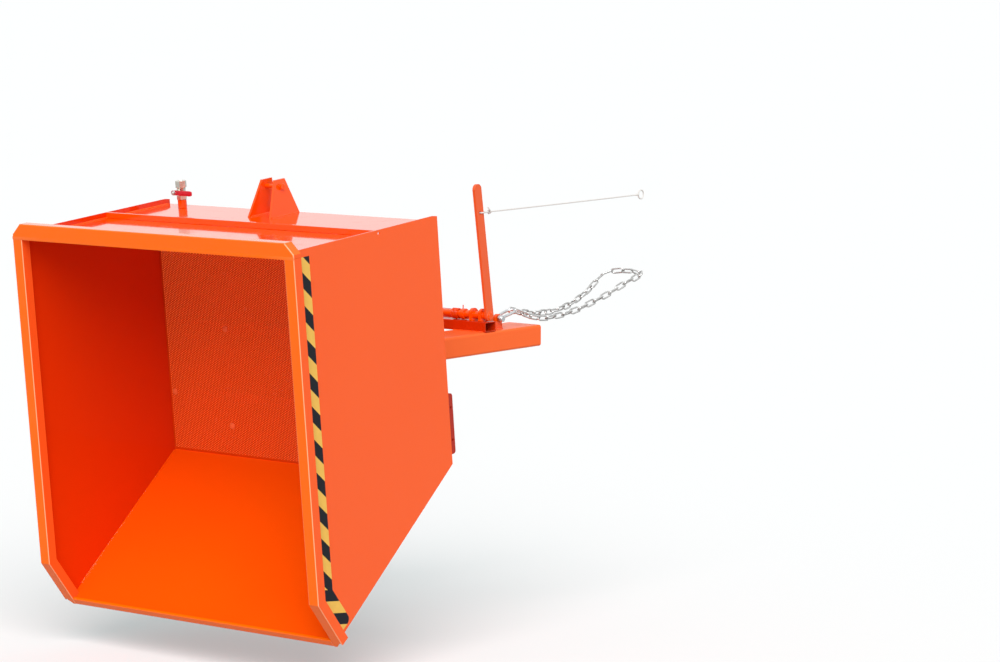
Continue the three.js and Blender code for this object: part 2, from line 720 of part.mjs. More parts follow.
const [, , lipEnd] = rimLine(0, 0);
const [, , lipEndBack] = rimLine(lipThickness, 0);
add(hopper, 'rim_lip',
  sidePlate([lipEnd, along(lipEnd, -lipFace), along(lipEndBack, -lipFace), lipEndBack],
    -betweenRims, betweenRims), orange);

// Wall stiffener between the side plates
add(hopper, 'wall_stiffener',
  sidePlate(rectangle(-sideOverWall, stiffenerHeight, -fit, stiffenerHeight + stiffenerThickness),
    -between, between), orange);

// Latch bracket: two plates that lean towards each other, and the pin that the hook takes
const bracketOutline = [[-fit, 0], [-bracketReach, bracketTopFrom], [-bracketReach, bracketTopTo],
  [-fit, bracketFootLength]];
const leanShare = (bracketFoot - bracketTop) / 2 / bracketReach;

function bracketHalf(reach) {
  return bracketFoot / 2 - leanShare * reach;
}

for (const [side, sign] of SIDES) {
  const halfFoot = bracketFoot / 2;
  const plate = sidePlate(bracketOutline, ...span(sign, halfFoot - bracketSheet, halfFoot));
  const lean = new THREE.Matrix4().makeShear(sign * leanShare, 0, 0, 0, 0, 0);
  plate.applyMatrix4(lean).translate(0, latchY, 0);
  const hole = rodAlongY(-latchPinReach, latchPinHeight, latchPinRadius + fit,
    latchY - bracketFoot, latchY + bracketFoot);
  add(hopper, `latch_bracket_${side}`, cut(plate, hole), orange);
}

const pinHalf = bracketHalf(latchPinReach) + latchPinOverhang;
add(hopper, 'latch_pin', join(
  rodAlongY(-latchPinReach, latchPinHeight, latchPinRadius, latchY - pinHalf, latchY + pinHalf),
  rodAlongY(-latchPinReach, latchPinHeight, pinHeadRadius, latchY + pinHalf - pinHeadLength,
    latchY + pinHalf, 6),
  rodAlongY(-latchPinReach, latchPinHeight, pinHeadRadius, latchY - pinHalf,
    latchY - pinHalf + pinHeadLength, 6)), orange);

// Hinge lugs under the floor
for (const [side, sign] of SIDES) {
  const lugEdge = lugFoot / 2;
  const lugOutline = [[hingeFromWall + lugEdge, -fit], [hingeFromWall - lugEdge, -fit],
    ...arc(hingeFromWall, -hingeUnderFloor, lugRadius, 180, 360, coarse)];
  const y = span(sign, lugCentre - lugThickness / 2, lugCentre + lugThickness / 2);
  add(hopper, `hinge_lug_${side}`,
    cut(sidePlate(lugOutline, ...y), rodAlongY(hingeFromWall, -hingeUnderFloor,
      hingePinRadius + running, y[0] - overrun, y[1] + overrun)), orange);
}

// Lashing plates under the floor's side edges
for (const [side, sign] of SIDES) {
  const from = floorLength - lashingFromFold;
  const to = from + lashingLength;
  const plate = [[from, -fit], ...arc(from + lashingEndRadius, lashingEndRadius - lashingDrop,
    lashingEndRadius, 180, 270, 6), ...arc(to - lashingEndRadius, lashingEndRadius - lashingDrop,
    lashingEndRadius, 270, 360, 6), [to, -fit]];
  const holes = [from + lashingHoleInset, to - lashingHoleInset].map(
    (x) => circle(x, -lashingHoleDrop, lashingHoleRadius, coarse));
  add(hopper, `lashing_plate_${side}`,
    sidePlate(plate, ...span(sign, plateOuter - lashingThickness, plateOuter), holes), orange);
}

// Warning tape behind the rim, on the side plates
const tapeNear = rimLine(rimDepth + tapeFromRim, tapeStart);
const tapeFar = rimLine(rimDepth + tapeFromRim + tapeWidth, tapeStart);
const tapeRound = rimLine(rimDepth + tapeFromRim + tapeWidth - tapeEndRadius, tapeStart);
const slopeDegrees = THREE.MathUtils.radToDeg(Math.atan2(slope.y, slope.x));
const tapeEnd = arc(...along(tapeRound[2], -tapeEndGap - tapeEndRadius), tapeEndRadius,
  slopeDegrees, slopeDegrees - 90, 8);
tapeNear[2] = along(tapeNear[2], -tapeEndGap);
for (const [side, sign] of SIDES) {
  const tape = [...tapeNear, ...tapeEnd, tapeFar[1], tapeFar[0]];
  add(hopper, `warning_tape_${side}`,
    sidePlate(tape, ...span(sign, plateOuter + fit, plateOuter + fit + tapeThickness)), tapeFilm);
}

// Drain valve: socket, body, ball, stem, handle and nut
const socketEnd = -fit - socketLength;
add(hopper, 'drain_socket',
  cut(rodAlongX(drainY, drainHeight, socketRadius, socketEnd, -fit),
    rodAlongX(drainY, drainHeight, drainBore, socketEnd - overrun, overrun)), orange);

const valveStart = socketEnd - fit;
const barrelStart = valveStart - valveHexLength;
const outletStart = barrelStart - valveBarrelLength;
const outletEnd = outletStart - outletLength;
const ballX = barrelStart - valveBarrelLength / 2;
const valveBody = cut(
  join(rodAlongX(drainY, drainHeight, valveHexRadius, barrelStart, valveStart, 6),
    rodAlongX(drainY, drainHeight, valveBarrelRadius, outletStart - running, barrelStart + running),
    rodAlongX(drainY, drainHeight, outletHexRadius, outletEnd, outletStart, 6),
    rodAlongZ(ballX, drainY, bonnetRadius, drainHeight, drainHeight + bonnetHeight, coarse)),
  rodAlongX(drainY, drainHeight, drainBore, outletEnd - overrun, valveStart + overrun),
  new THREE.SphereGeometry(ballRadius + fit, 24, 16).translate(ballX, drainY, drainHeight),
  rodAlongZ(ballX, drainY, stemRadius + fit, drainHeight, drainHeight + bonnetHeight + overrun, coarse));
add(hopper, 'valve_body', valveBody, nickel);

add(hopper, 'valve_ball',
  cut(new THREE.SphereGeometry(ballRadius, 24, 16).translate(ballX, drainY, drainHeight),
    rodAlongY(ballX, drainHeight, ballBore, drainY - 2 * ballRadius,
      drainY + 2 * ballRadius, coarse)), nickel);
add(hopper, 'valve_stem',
  rodAlongZ(ballX, drainY, stemRadius, drainHeight + ballRadius + fit, drainHeight + stemHeight, coarse),
  nickel);
const handleFrom = drainHeight + handleHeight;
add(hopper, 'valve_handle',
  layer(roundedRectangle(ballX - handleWidth / 2, drainY - handleTail, ballX + handleWidth / 2,
    drainY - handleTail + handleLength, handleWidth / 3), handleFrom, handleFrom + handleThickness,
  [circle(ballX, drainY, stemRadius + fit, coarse)]), redPlastic);
add(hopper, 'handle_nut',
  cut(rodAlongZ(ballX, drainY, handleNutRadius, handleFrom + handleThickness + fit,
    drainHeight + stemHeight - fit, 6),
  rodAlongZ(ballX, drainY, stemRadius + fit, handleFrom, drainHeight + stemHeight + overrun, coarse)),
  zinc);

export default group;
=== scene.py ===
import logging
import math
from collections.abc import Callable, Iterable, Sequence
from dataclasses import dataclass
from enum import Enum
from functools import cache
from typing import Any

import bmesh
import bpy
from mathutils import Matrix, Vector


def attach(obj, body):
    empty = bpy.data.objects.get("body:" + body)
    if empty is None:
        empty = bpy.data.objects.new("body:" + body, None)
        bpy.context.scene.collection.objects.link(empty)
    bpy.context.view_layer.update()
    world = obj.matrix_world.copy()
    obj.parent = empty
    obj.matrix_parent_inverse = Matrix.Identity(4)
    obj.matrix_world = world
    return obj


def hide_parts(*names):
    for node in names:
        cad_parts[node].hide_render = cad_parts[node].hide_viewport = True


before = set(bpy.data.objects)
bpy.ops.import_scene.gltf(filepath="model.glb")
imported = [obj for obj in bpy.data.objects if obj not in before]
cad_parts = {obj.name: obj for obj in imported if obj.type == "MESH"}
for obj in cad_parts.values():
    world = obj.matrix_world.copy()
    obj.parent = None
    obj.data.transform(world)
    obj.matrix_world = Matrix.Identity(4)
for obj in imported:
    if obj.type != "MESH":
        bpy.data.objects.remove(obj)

log = logging.getLogger("hopper")

Point = tuple[float, float, float]
Colour = tuple[float, float, float]
Flat = tuple[float, float]

BLACK: Colour = (0.0, 0.0, 0.0)
SIDES = (("left", 1), ("right", -1))
UP = (0.0, 0.0, 1.0)
ACROSS = (0.0, 1.0, 0.0)

# Distances at which points are merged, in metres, and angles of edges, in degrees
MERGE_CAD = 1e-5
MERGE_TURNED = 1e-6
MERGE_CELLS = 0.00002
FLAT_ANGLE = 1.0
SHARP_ANGLE = 28.0
SMOOTH_ANGLE = 35.0
SOFT_ANGLE = 50.0
BLOCK_ANGLE = 60.0


class Body(Enum):
    """The moving bodies of the hopper."""

    FRAME = "frame"
    LEVER = "lever"
    VALVE = "valve_turn"
    HOPPER = "hopper"


class Slot(Enum):
    """The finish slots of the record."""

    PAINT = "orange_paint"
    ZINC = "zinc_steel"
    CHAIN = "chain_steel"
    NICKEL = "nickel"
    GRIP = "red_handle"
    FILM = "warning_film"
    ROPE = "rope"


# Node trees


class Sock:
    """A node's output that Python's operators turn into Math nodes."""

    def __init__(self, build: "Build", socket: bpy.types.NodeSocket) -> None:
        """Wraps a socket.

        Args:
            build: The tree that the socket belongs to.
            socket: The output socket.
        """
        self.build = build
        self.socket = socket

    def maths(self, operation: str, *terms: "Sock | float") -> "Sock":
        """Adds one Math node.

        Args:
            operation: The node's operation.
            terms: What follows this value in it.

        Returns:
            The node's result.
        """
        values = dict(enumerate((self, *terms)))
        return self.build.node("ShaderNodeMath", {"operation": operation}, values)[0]

    def __add__(self, other: "Sock | float") -> "Sock":
        """Sum."""
        return self.maths("ADD", other)

    __radd__ = __add__

    def __sub__(self, other: "Sock | float") -> "Sock":
        """Difference."""
        return self.maths("SUBTRACT", other)

    def __rsub__(self, other: float) -> "Sock":
        """Difference from a number."""
        return self.build.node("ShaderNodeMath", {"operation": "SUBTRACT"}, {0: other, 1: self})[0]

    def __mul__(self, other: "Sock | float") -> "Sock":
        """Product."""
        return self.maths("MULTIPLY", other)

    __rmul__ = __mul__

    def __truediv__(self, other: "Sock | float") -> "Sock":
        """Quotient."""
        return self.maths("DIVIDE", other)

    def __mod__(self, other: "Sock | float") -> "Sock":
        """Remainder, never negative."""
        return self.maths("FLOORED_MODULO", other)

    def __gt__(self, other: "Sock | float") -> "Sock":
        """1 where this value is larger."""
        return self.maths("GREATER_THAN", other)

    def __lt__(self, other: "Sock | float") -> "Sock":
        """1 where this value is smaller."""
        return self.maths("LESS_THAN", other)


class Made:
    """A node that was just made, whose outputs come back wrapped."""

    def __init__(self, build: "Build", node: bpy.types.Node) -> None:
        """Keeps the node.

        Args:
            build: The tree that the node is in.
            node: The node.
        """
        self.build = build
        self.node = node

    def __getitem__(self, key: str | int) -> Sock:
        """One output, by its name or number."""
        return Sock(self.build, self.node.outputs[key])


class Build:
    """Fills one node tree."""

    def __init__(self, tree: bpy.types.NodeTree) -> None:
        """Takes the tree to fill.

        Args:
            tree: A shader or geometry tree.
        """
        self.tree = tree

    def node(
        self,
        kind: str,
        settings: dict[str, Any] | None = None,
        inputs: dict[str | int, Any] | None = None,
    ) -> Made:
        """Adds a node, with its settings first and then its sockets.

        Args:
            kind: The node's type.
            settings: Its properties. "stops" gives a ramp's places and colours.
            inputs: The value or link of each socket, by name or number.

        Returns:
            The node.
        """
        made = self.tree.nodes.new(kind)
        for name, value in (settings or {}).items():
            if name == "stops":
                while len(made.color_ramp.elements) < len(value):
                    made.color_ramp.elements.new(1.0)
                for element, (place, colour) in zip(made.color_ramp.elements, value):
                    element.position = place
                    element.color = (*colour, 1.0)
            else:
                setattr(made, name, value)
        for key, value in (inputs or {}).items():
            if isinstance(value, Sock):
                self.tree.links.new(value.socket, made.inputs[key])
            else:
                made.inputs[key].default_value = value
        return Made(self, made)

    def mixed(self, factor: Sock | float, first: Any, second: Any) -> Sock:
        """Mixes two colours.

        Args:
            factor: The share of the second.
            first: A colour or a link.
            second: A colour or a link.

        Returns:
            The mixed colour.
        """
        pair = [c if isinstance(c, Sock) else (*c, 1.0) for c in (first, second)]
        return self.node(
            "ShaderNodeMix", {"data_type": "RGBA"}, {0: factor, 6: pair[0], 7: pair[1]})[2]

    def noise(self, place: Sock, scale: float, detail: float = 2.0) -> Sock:
        """A noise value round 0.5.

        Args:
            place: Where it is read.
            scale: Waves in a metre.
            detail: Octaves.

        Returns:
            The noise.
        """
        return self.node(
            "ShaderNodeTexNoise", None, {"Vector": place, "Scale": scale, "Detail": detail})[0]

    def relief(self, height: Sock) -> Sock:
        """Turns a height in metres into a normal."""
        return self.node(
            "ShaderNodeBump", None, {"Strength": 1.0, "Distance": 1.0, "Height": height})["Normal"]

    def ramp(self, value: Sock, low: float, high: float) -> Sock:
        """Rises from 0 to 1 between two limits.

        Args:
            value: What is read.
            low: Where it is 0.
            high: Where it is 1.

        Returns:
            The rise.
        """
        return self.node("ShaderNodeMapRange", None, {
            "Value": value, "From Min": low, "From Max": high, "To Min": 0.0, "To Max": 1.0})[0]

    def split(self, vector: Sock) -> Made:
        """A vector's X, Y and Z."""
        return self.node("ShaderNodeSeparateXYZ", None, {0: vector})

    def surface(self, inputs: dict[str | int, Any]) -> Sock:
        """A surface shader with these sockets."""
        return self.node("ShaderNodeBsdfPrincipled", None, inputs)[0]


# Finishes


@dataclass(frozen=True)
class Paint:
    """Glossy sprayed paint on sheet steel. Scales are waves in a metre, heights are metres."""

    name: str = "orange_paint"
    colour: Colour = (0.98, 0.098, 0.001)
    deep: Colour = (0.90, 0.078, 0.001)
    roughness: float = 0.12
    rub: float = 0.10
    coat: float = 0.9
    gloss_index: float = 1.27
    # Painted shade: a darker colour for the inner faces of a side plate
    inside_shade: Colour | None = None
    # Painted highlight: a pale colour along the rim's rounded folds
    fold: Colour | None = None
    # Painted sheen: the side plates' paler, pinker colour for the rim's faces turned sideways
    flank_sheen: Colour | None = None
    glint: Colour | None = None
    slot: Slot = Slot.PAINT
    drift_scale: float = 2.3
    drift_share: float = 0.7
    rub_scale: float = 17.0
    rub_limits: Flat = (0.56, 0.74)
    wave_scale: float = 2.6
    wave: float = 0.0007
    peel_scale: float = 340.0
    peel: float = 0.000012
    coat_roughness: float = 0.04
    inside_half: float = 0.602
    fold_highlight_limits: Flat = (0.1, 0.4)
    flank_least: float = 0.95
    hole_most: float = 0.5

    def shader(self, build: Build) -> Sock:
        """Colour drift, faint rubbed patches, sheet waviness and orange peel.

        The inner faces of a side plate can take a painted shade, the rim's folds a painted highlight
        and its flanks a painted sheen, and the walls of the false floor's holes a painted glint that glows.

        Args:
            build: The material's tree.

        Returns:
            The surface shader.
        """
        coordinates = build.node("ShaderNodeTexCoord")
        place, facing = coordinates["Object"], build.split(coordinates["Normal"])
        drift = build.noise(place, self.drift_scale, detail=3.0)
        rubbed = build.ramp(build.noise(place, self.rub_scale, detail=5.0), *self.rub_limits)
        waves = build.noise(place, self.wave_scale, detail=1.0) * self.wave
        height = waves + build.noise(place, self.peel_scale) * self.peel
        base = build.mixed(drift * self.drift_share, self.colour, self.deep)
        # Painted shade: faces nearer the middle than inside_half, the side plates' inner faces, turn darker
        if self.inside_shade:
            across = build.split(place)["Y"].maths("ABSOLUTE")
            base = build.mixed(across < self.inside_half, base, self.inside_shade)
        # Painted highlight: faces turned between front and side, the rim's folds, get the pale fold colour
        if self.fold:
            turned_by = facing["X"] * facing["Y"].maths("ABSOLUTE")
            base = build.mixed(build.ramp(turned_by, *self.fold_highlight_limits), base, self.fold)
        # Painted sheen: the rim's faces turned sideways take the side plates' sheen colour instead of the
        # lit front's
        if self.flank_sheen:
            base = build.mixed(facing["Y"].maths("ABSOLUTE") > self.flank_least, base, self.flank_sheen)
        shine: dict[str | int, Sock | float] = {}
        if self.glint:
            on_wall = facing["X"].maths("ABSOLUTE") < self.hole_most
            shine = {"Emission Color": build.mixed(on_wall, BLACK, self.glint), "Emission Strength": 1.0}
        return build.surface({
            "Base Color": base,
            "Roughness": rubbed * self.rub + self.roughness,
            "IOR": self.gloss_index,
            "Coat Weight": self.coat,
            "Coat Roughness": self.coat_roughness,
            "Coat IOR": self.gloss_index,
            "Normal": build.relief(height),
            **shine,
        })

@dataclass(frozen=True)
class Metal:
    """Plated steel or brass with a faint bloom."""

    name: str
    colour: Colour
    dull: Colour
    roughness: float = 0.22
    bloom: float = 0.16
    slot: Slot = Slot.ZINC
    cloud_scale: float = 60.0
    cloud_limits: Flat = (0.4, 0.7)
    grain_scale: float = 900.0
    grain: float = 0.00001

    def shader(self, build: Build) -> Sock:
        """Bright plating with duller clouds and a fine grain.

        Args:
            build: The material's tree.

        Returns:
            The surface shader.
        """
        place = build.node("ShaderNodeTexCoord")["Object"]
        clouded = build.ramp(build.noise(place, self.cloud_scale, detail=4.0), *self.cloud_limits)
        return build.surface({
            "Base Color": build.mixed(clouded, self.colour, self.dull),
            "Metallic": 1.0,
            "Roughness": clouded * self.bloom + self.roughness,
            "Normal": build.relief(build.noise(place, self.grain_scale) * self.grain),
        })


@dataclass(frozen=True)
class Grip:
    """Dipped plastic on the valve's handle."""

    name: str = "red_grip"
    colour: Colour = (0.62, 0.004, 0.024)
    worn: Colour = (0.50, 0.004, 0.020)
    slot: Slot = Slot.GRIP
    worn_scale: float = 90.0
    roughness: float = 0.28
    uneven: float = 0.15
    uneven_scale: float = 120.0
    dimple_scale: float = 600.0
    dimple: float = 0.00006

    def shader(self, build: Build) -> Sock:
        """Soft plastic with a dimpled skin.

        Args:
            build: The material's tree.

        Returns:
            The surface shader.
        """
        place = build.node("ShaderNodeTexCoord")["Object"]
        worn = build.noise(place, self.worn_scale, detail=3.0)
        return build.surface({
            "Base Color": build.mixed(worn, self.colour, self.worn),
            "Roughness": build.noise(place, self.uneven_scale) * self.uneven + self.roughness,
            "Normal": build.relief(build.noise(place, self.dimple_scale) * self.dimple),
        })


@dataclass(frozen=True)
class Film:
    """Striped warning tape. Its stripes follow the tape's own UV map, in metres."""

    name: str = "warning_film"
    yellow: Colour = (0.95, 0.57, 0.11)
    black: Colour = (0.010, 0.013, 0.019)
    period: float = 0.108
    share: float = 0.487
    first: float = 0.0335
    gloss_index: float = 1.25
    slot: Slot = Slot.FILM
    faded: float = 0.86
    wear_scale: float = 45.0
    wear: float = 0.2
    roughness: float = 0.3
    crease_scale: float = 130.0
    crease: float = 0.00006

    def shader(self, build: Build) -> Sock:
        """Stripes at 45 degrees under a slightly creased, worn film.

        Args:
            build: The material's tree.

        Returns:
            The surface shader.
        """
        place = build.node("ShaderNodeTexCoord")["Object"]
        own = build.split(build.node("ShaderNodeUVMap", {"uv_map": "UVMap"})[0])
        turn = (own["X"] - own["Y"] - self.first) % self.period
        wear = build.noise(place, self.wear_scale, detail=5.0)
        yellow = build.mixed(wear, self.yellow, tuple(self.faded * c for c in self.yellow))
        return build.surface({
            "Base Color": build.mixed(turn < self.period * self.share, yellow, self.black),
            "Roughness": wear * self.wear + self.roughness,
            "IOR": self.gloss_index,
            "Normal": build.relief(build.noise(place, self.crease_scale) * self.crease),
        })


@dataclass(frozen=True)
class Braid:
    """Braided cord. Its strands follow the cord's own UV map, along in metres and round in turns."""

    name: str = "braided_rope"
    colour: Colour = (0.80, 0.78, 0.75)
    # Painted shade: the colour of the grooves between the strands
    shade: Colour = (0.60, 0.57, 0.53)
    pitch: float = 0.009
    strands: float = 4.0
    slot: Slot = Slot.ROPE
    roughness: float = 0.85
    fuzz: float = 0.2
    crown_height: float = 0.00025
    fibre_scale: float = 900.0
    fibre_height: float = 0.0002

    def shader(self, build: Build) -> Sock:
        """Two sets of strands that cross round the cord, with painted shade in the grooves between them.

        Args:
            build: The material's tree.

        Returns:
            The surface shader.
        """
        own = build.split(build.node("ShaderNodeUVMap", {"uv_map": "UVMap"})[0])
        along = own["X"] * (2 * math.pi / self.pitch)
        around = own["Y"] * (2 * math.pi * self.strands)
        crown = (along + around).maths("SINE").maths("MAXIMUM", (along - around).maths("SINE"))
        place = build.node("ShaderNodeTexCoord")["Object"]
        fibre = build.noise(place, self.fibre_scale, detail=3.0)
        # Painted shade: the base colour darkens from the strands' crowns to the grooves between them
        return build.surface({
            "Base Color": build.mixed(crown * 0.5 + 0.5, self.shade, self.colour),
            "Roughness": self.roughness,
            "Sheen Weight": self.fuzz,
            "Normal": build.relief(crown * self.crown_height + fibre * self.fibre_height),
        })


@dataclass(frozen=True)
class Backdrop:
    """Pale matt floor of the studio."""

    name: str = "studio_floor"
    colour: Colour = (0.925, 0.775, 0.763)
    pale: float = 0.995
    drift_scale: float = 0.3
    dim: Colour = (0.55, 0.55, 0.55)
    glow: float = 0.2
    glow_colour: Colour = (0.47, 0.965, 1.0)
    glow_strength: float = 1.52

    def shader(self, build: Build) -> Sock:
        """A matt surface with hardly any drift, which adds a little light of its own for the camera.

        Args:
            build: The material's tree.

        Returns:
            The surface shader.
        """
        place = build.node("ShaderNodeTexCoord")["Object"]
        seen = build.node("ShaderNodeLightPath")["Is Camera Ray"]
        pale = tuple(self.pale * c for c in self.colour)
        drift = build.mixed(build.noise(place, self.drift_scale), self.colour, pale)
        matt = build.node("ShaderNodeBsdfDiffuse", None, {
            "Color": build.mixed(seen, self.dim, drift)})[0]
        own = build.node("ShaderNodeEmission", None, {
            "Color": (*self.glow_colour, 1.0), "Strength": self.glow_strength})[0]
        return build.node("ShaderNodeMixShader", None, {
            0: seen * self.glow, 1: matt, 2: own})[0]


PAINT = Paint()
# Painted light: the rim's paint is a lighter, yellower copy of the orange paint for its lit front, with a
# painted highlight on its folds and a painted sheen on its flanks
LIT_RIM_PAINT = Paint("lit_rim_paint", (1.0, 0.152, 0.001), (0.96, 0.138, 0.001), gloss_index=1.22,
                  fold=(1.0, 0.42, 0.22), flank_sheen=(1.0, 0.118, 0.016))
# Painted light: the side plates' paint is paler and pinker than the orange paint, a painted sheen, and
# darker on their inner faces, a painted shade
SHEEN_SHADE_SIDE_PAINT = Paint("side_sheen_and_shade_paint", (1.0, 0.118, 0.014), (0.97, 0.108, 0.012),
                   inside_shade=(0.74, 0.036, 0.001))
POCKET_PAINT = Paint("pocket_paint", (1.0, 0.160, 0.038), (0.98, 0.150, 0.034), 0.3, coat=0.1,
                     gloss_index=1.12)
LEVER_PAINT = Paint("lever_paint", (0.90, 0.120, 0.026), (0.84, 0.110, 0.022))
# Painted shade: a darker copy of the orange paint for the cross tube and the rear cross plate, which lie in
# the hopper's shade
SHADED_TUBE_PAINT = Paint("shaded_tube_paint", (0.62, 0.030, 0.001), (0.56, 0.026, 0.001), 0.25, coat=0.2)
DEEP_PAINT = Paint("frame_paint", (0.90, 0.072, 0.002), (0.80, 0.058, 0.001), 0.16, 0.14)
# Painted shade and glint: the false floor's sheet is as dark as the shaded inner walls, and its hole walls
# glow with a painted glint
SHADED_SIEVE_PAINT = Paint("shaded_sieve_paint", (0.76, 0.055, 0.001), (0.72, 0.048, 0.001), 0.2, 0.1,
                    glint=(0.56, 0.125, 0.03))
# Painted highlight: the bolt heads are painted paler than the sheet round them, standing in for their
# highlights
HIGHLIT_BOLT_PAINT = Paint("highlit_bolt_paint", (1.0, 0.20, 0.06), (1.0, 0.15, 0.04))
DARK_PAINT = Paint("shaded_paint", (0.46, 0.016, 0.001), (0.38, 0.012, 0.001), 0.2, 0.14)
ZINC = Metal("zinc_plate", (0.70, 0.71, 0.72), (0.52, 0.53, 0.55), 0.24, 0.2)
CHAIN = Metal("bright_chain", (0.66, 0.66, 0.65), (0.42, 0.42, 0.41), 0.2, 0.14, Slot.CHAIN)
NICKEL = Metal("nickel_plate", (0.80, 0.76, 0.68), (0.66, 0.62, 0.54), 0.14, 0.12, Slot.NICKEL)
GRIP = Grip()
FILM = Film()
BRAID = Braid()

Coat = Paint | Metal | Grip | Film | Braid
Finish = Coat | Backdrop


@cache
def material_of(finish: Finish) -> bpy.types.Material:
    """Makes a finish's material once.

    Args:
        finish: The finish.

    Returns:
        Its material.
    """
    material = bpy.data.materials.new(finish.name)
    material.use_nodes = True
    material.node_tree.nodes.clear()
    build = Build(material.node_tree)
    build.node("ShaderNodeOutputMaterial", None, {"Surface": finish.shader(build)})
    return material


# Meshes


def mesh_of(shape: bmesh.types.BMesh, name: str = "shape") -> bpy.types.Mesh:
    """Turns a bmesh into a mesh and frees it.

    Args:
        shape: The bmesh.
        name: The mesh's name.

    Returns:
        The mesh.
    """
    mesh = bpy.data.meshes.new(name)
    shape.to_mesh(mesh)
    shape.free()
    return mesh


def smoothed(mesh: bpy.types.Mesh, degrees: float = SMOOTH_ANGLE) -> bpy.types.Mesh:
    """Shades a mesh smooth apart from its sharp edges.

    Args:
        mesh: The mesh.
        degrees: The angle from which an edge stays sharp.

    Returns:
        The same mesh.
    """
    mesh.polygons.foreach_set("use_smooth", [True] * len(mesh.polygons))
    mesh.set_sharp_from_angle(angle=math.radians(degrees))
    return mesh


def steps_round(count: int) -> list[float]:
    """Angles at equal steps round a full turn."""
    return [2 * math.pi * k / count for k in range(count)]


def bridge(shape: bmesh.types.BMesh, rows: Sequence[Sequence[bmesh.types.BMVert]]) -> None:
    """Joins closed rows of points, each to the next, with four-sided faces.

    Args:
        shape: The bmesh that they are in.
        rows: The rows, all of one length.
    """
    size = len(rows[0])
    for first, second in zip(rows, rows[1:]):
        for k in range(size):
            shape.faces.new((first[k], first[(k + 1) % size], second[(k + 1) % size], second[k]))


def cap(shape: bmesh.types.BMesh, rows: Sequence[Sequence[bmesh.types.BMVert]]) -> None:
    """Closes the first and the last of several rows of points."""
    shape.faces.new(rows[0][::-1])
    shape.faces.new(rows[-1])


def sealed(shape: bmesh.types.BMesh, degrees: float = SMOOTH_ANGLE) -> bpy.types.Mesh:
    """Turns a closed bmesh's faces outwards and makes a smooth mesh of it."""
    bmesh.ops.recalc_face_normals(shape, faces=shape.faces)
    return smoothed(mesh_of(shape), degrees)


def joined(meshes: Iterable[bpy.types.Mesh], name: str = "shape") -> bpy.types.Mesh:
    """Puts several meshes in one, as separate shells.

    Args:
        meshes: The meshes, which are used up.
        name: The new mesh's name.

    Returns:
        One mesh.
    """
    shape = bmesh.new()
    for mesh in meshes:
        shape.from_mesh(mesh)
        bpy.data.meshes.remove(mesh)
    return mesh_of(shape, name)


def moved(mesh: bpy.types.Mesh, matrix: Matrix) -> bpy.types.Mesh:
    """Applies a place to a mesh's points."""
    mesh.transform(matrix)
    return mesh


def evaluated(holder: bpy.types.Object) -> bpy.types.Mesh:
    """Takes an object's finished mesh, and removes the object.

    Args:
        holder: An object with modifiers.

    Returns:
        A plain mesh.
    """
    bpy.context.view_layer.update()
    graph = bpy.context.evaluated_depsgraph_get()
    mesh = bpy.data.meshes.new_from_object(holder.evaluated_get(graph), depsgraph=graph)
    old = holder.data
    bpy.data.objects.remove(holder)
    bpy.data.meshes.remove(old)
    return mesh


def held(mesh: bpy.types.Mesh) -> bpy.types.Object:
    """A short-lived object that carries a mesh for a modifier.

    Args:
        mesh: The mesh.

    Returns:
        The object.
    """
    holder = bpy.data.objects.new("holder", mesh)
    bpy.context.scene.collection.objects.link(holder)
    return holder


def smooth_route(points: Sequence[Point], steps: int) -> list[Vector]:
    """Points on the curve that passes through a route, as the part's own solids follow it.

    Args:
        points: The route, in metres.
        steps: New points in each span.

    Returns:
        The curve's points.
    """
    inner = [Vector(p) for p in points]
    route = [2 * inner[0] - inner[1], *inner, 2 * inner[-1] - inner[-2]]
    curve: list[Vector] = []
    for a, b, c, d in zip(route, route[1:], route[2:], route[3:]):
        before, here, after = (math.sqrt((q - p).length) for p, q in ((a, b), (b, c), (c, d)))
        start = ((b - a) / before - (c - a) / (before + here) + (c - b) / here) * here
        end = ((c - b) / here - (d - b) / (here + after) + (d - c) / after) * here
        for i in range(steps):
            t = i / steps
            curve.append(
                b * (2 * t**3 - 3 * t**2 + 1) + start * (t**3 - 2 * t**2 + t)
                + c * (3 * t**2 - 2 * t**3) + end * (t**3 - t**2))
    curve.append(inner[-1])
    return curve


def route_length(points: Sequence[Vector]) -> float:
    """Length of a line of points."""
    return sum((b - a).length for a, b in zip(points, points[1:]))


def trimmed(points: Sequence[Vector], cut: float) -> list[Vector]:
    """A line of points with a length taken off both its ends.

    Args:
        points: The line.
        cut: What comes off each end.

    Returns:
        The shorter line.
    """
    row = list(points)
    for _ in range(2):
        left = cut
        while (row[1] - row[0]).length < left:
            left -= (row[1] - row[0]).length
            row.pop(0)
        row[0] = row[0] + (row[1] - row[0]).normalized() * left
        row.reverse()
    return row


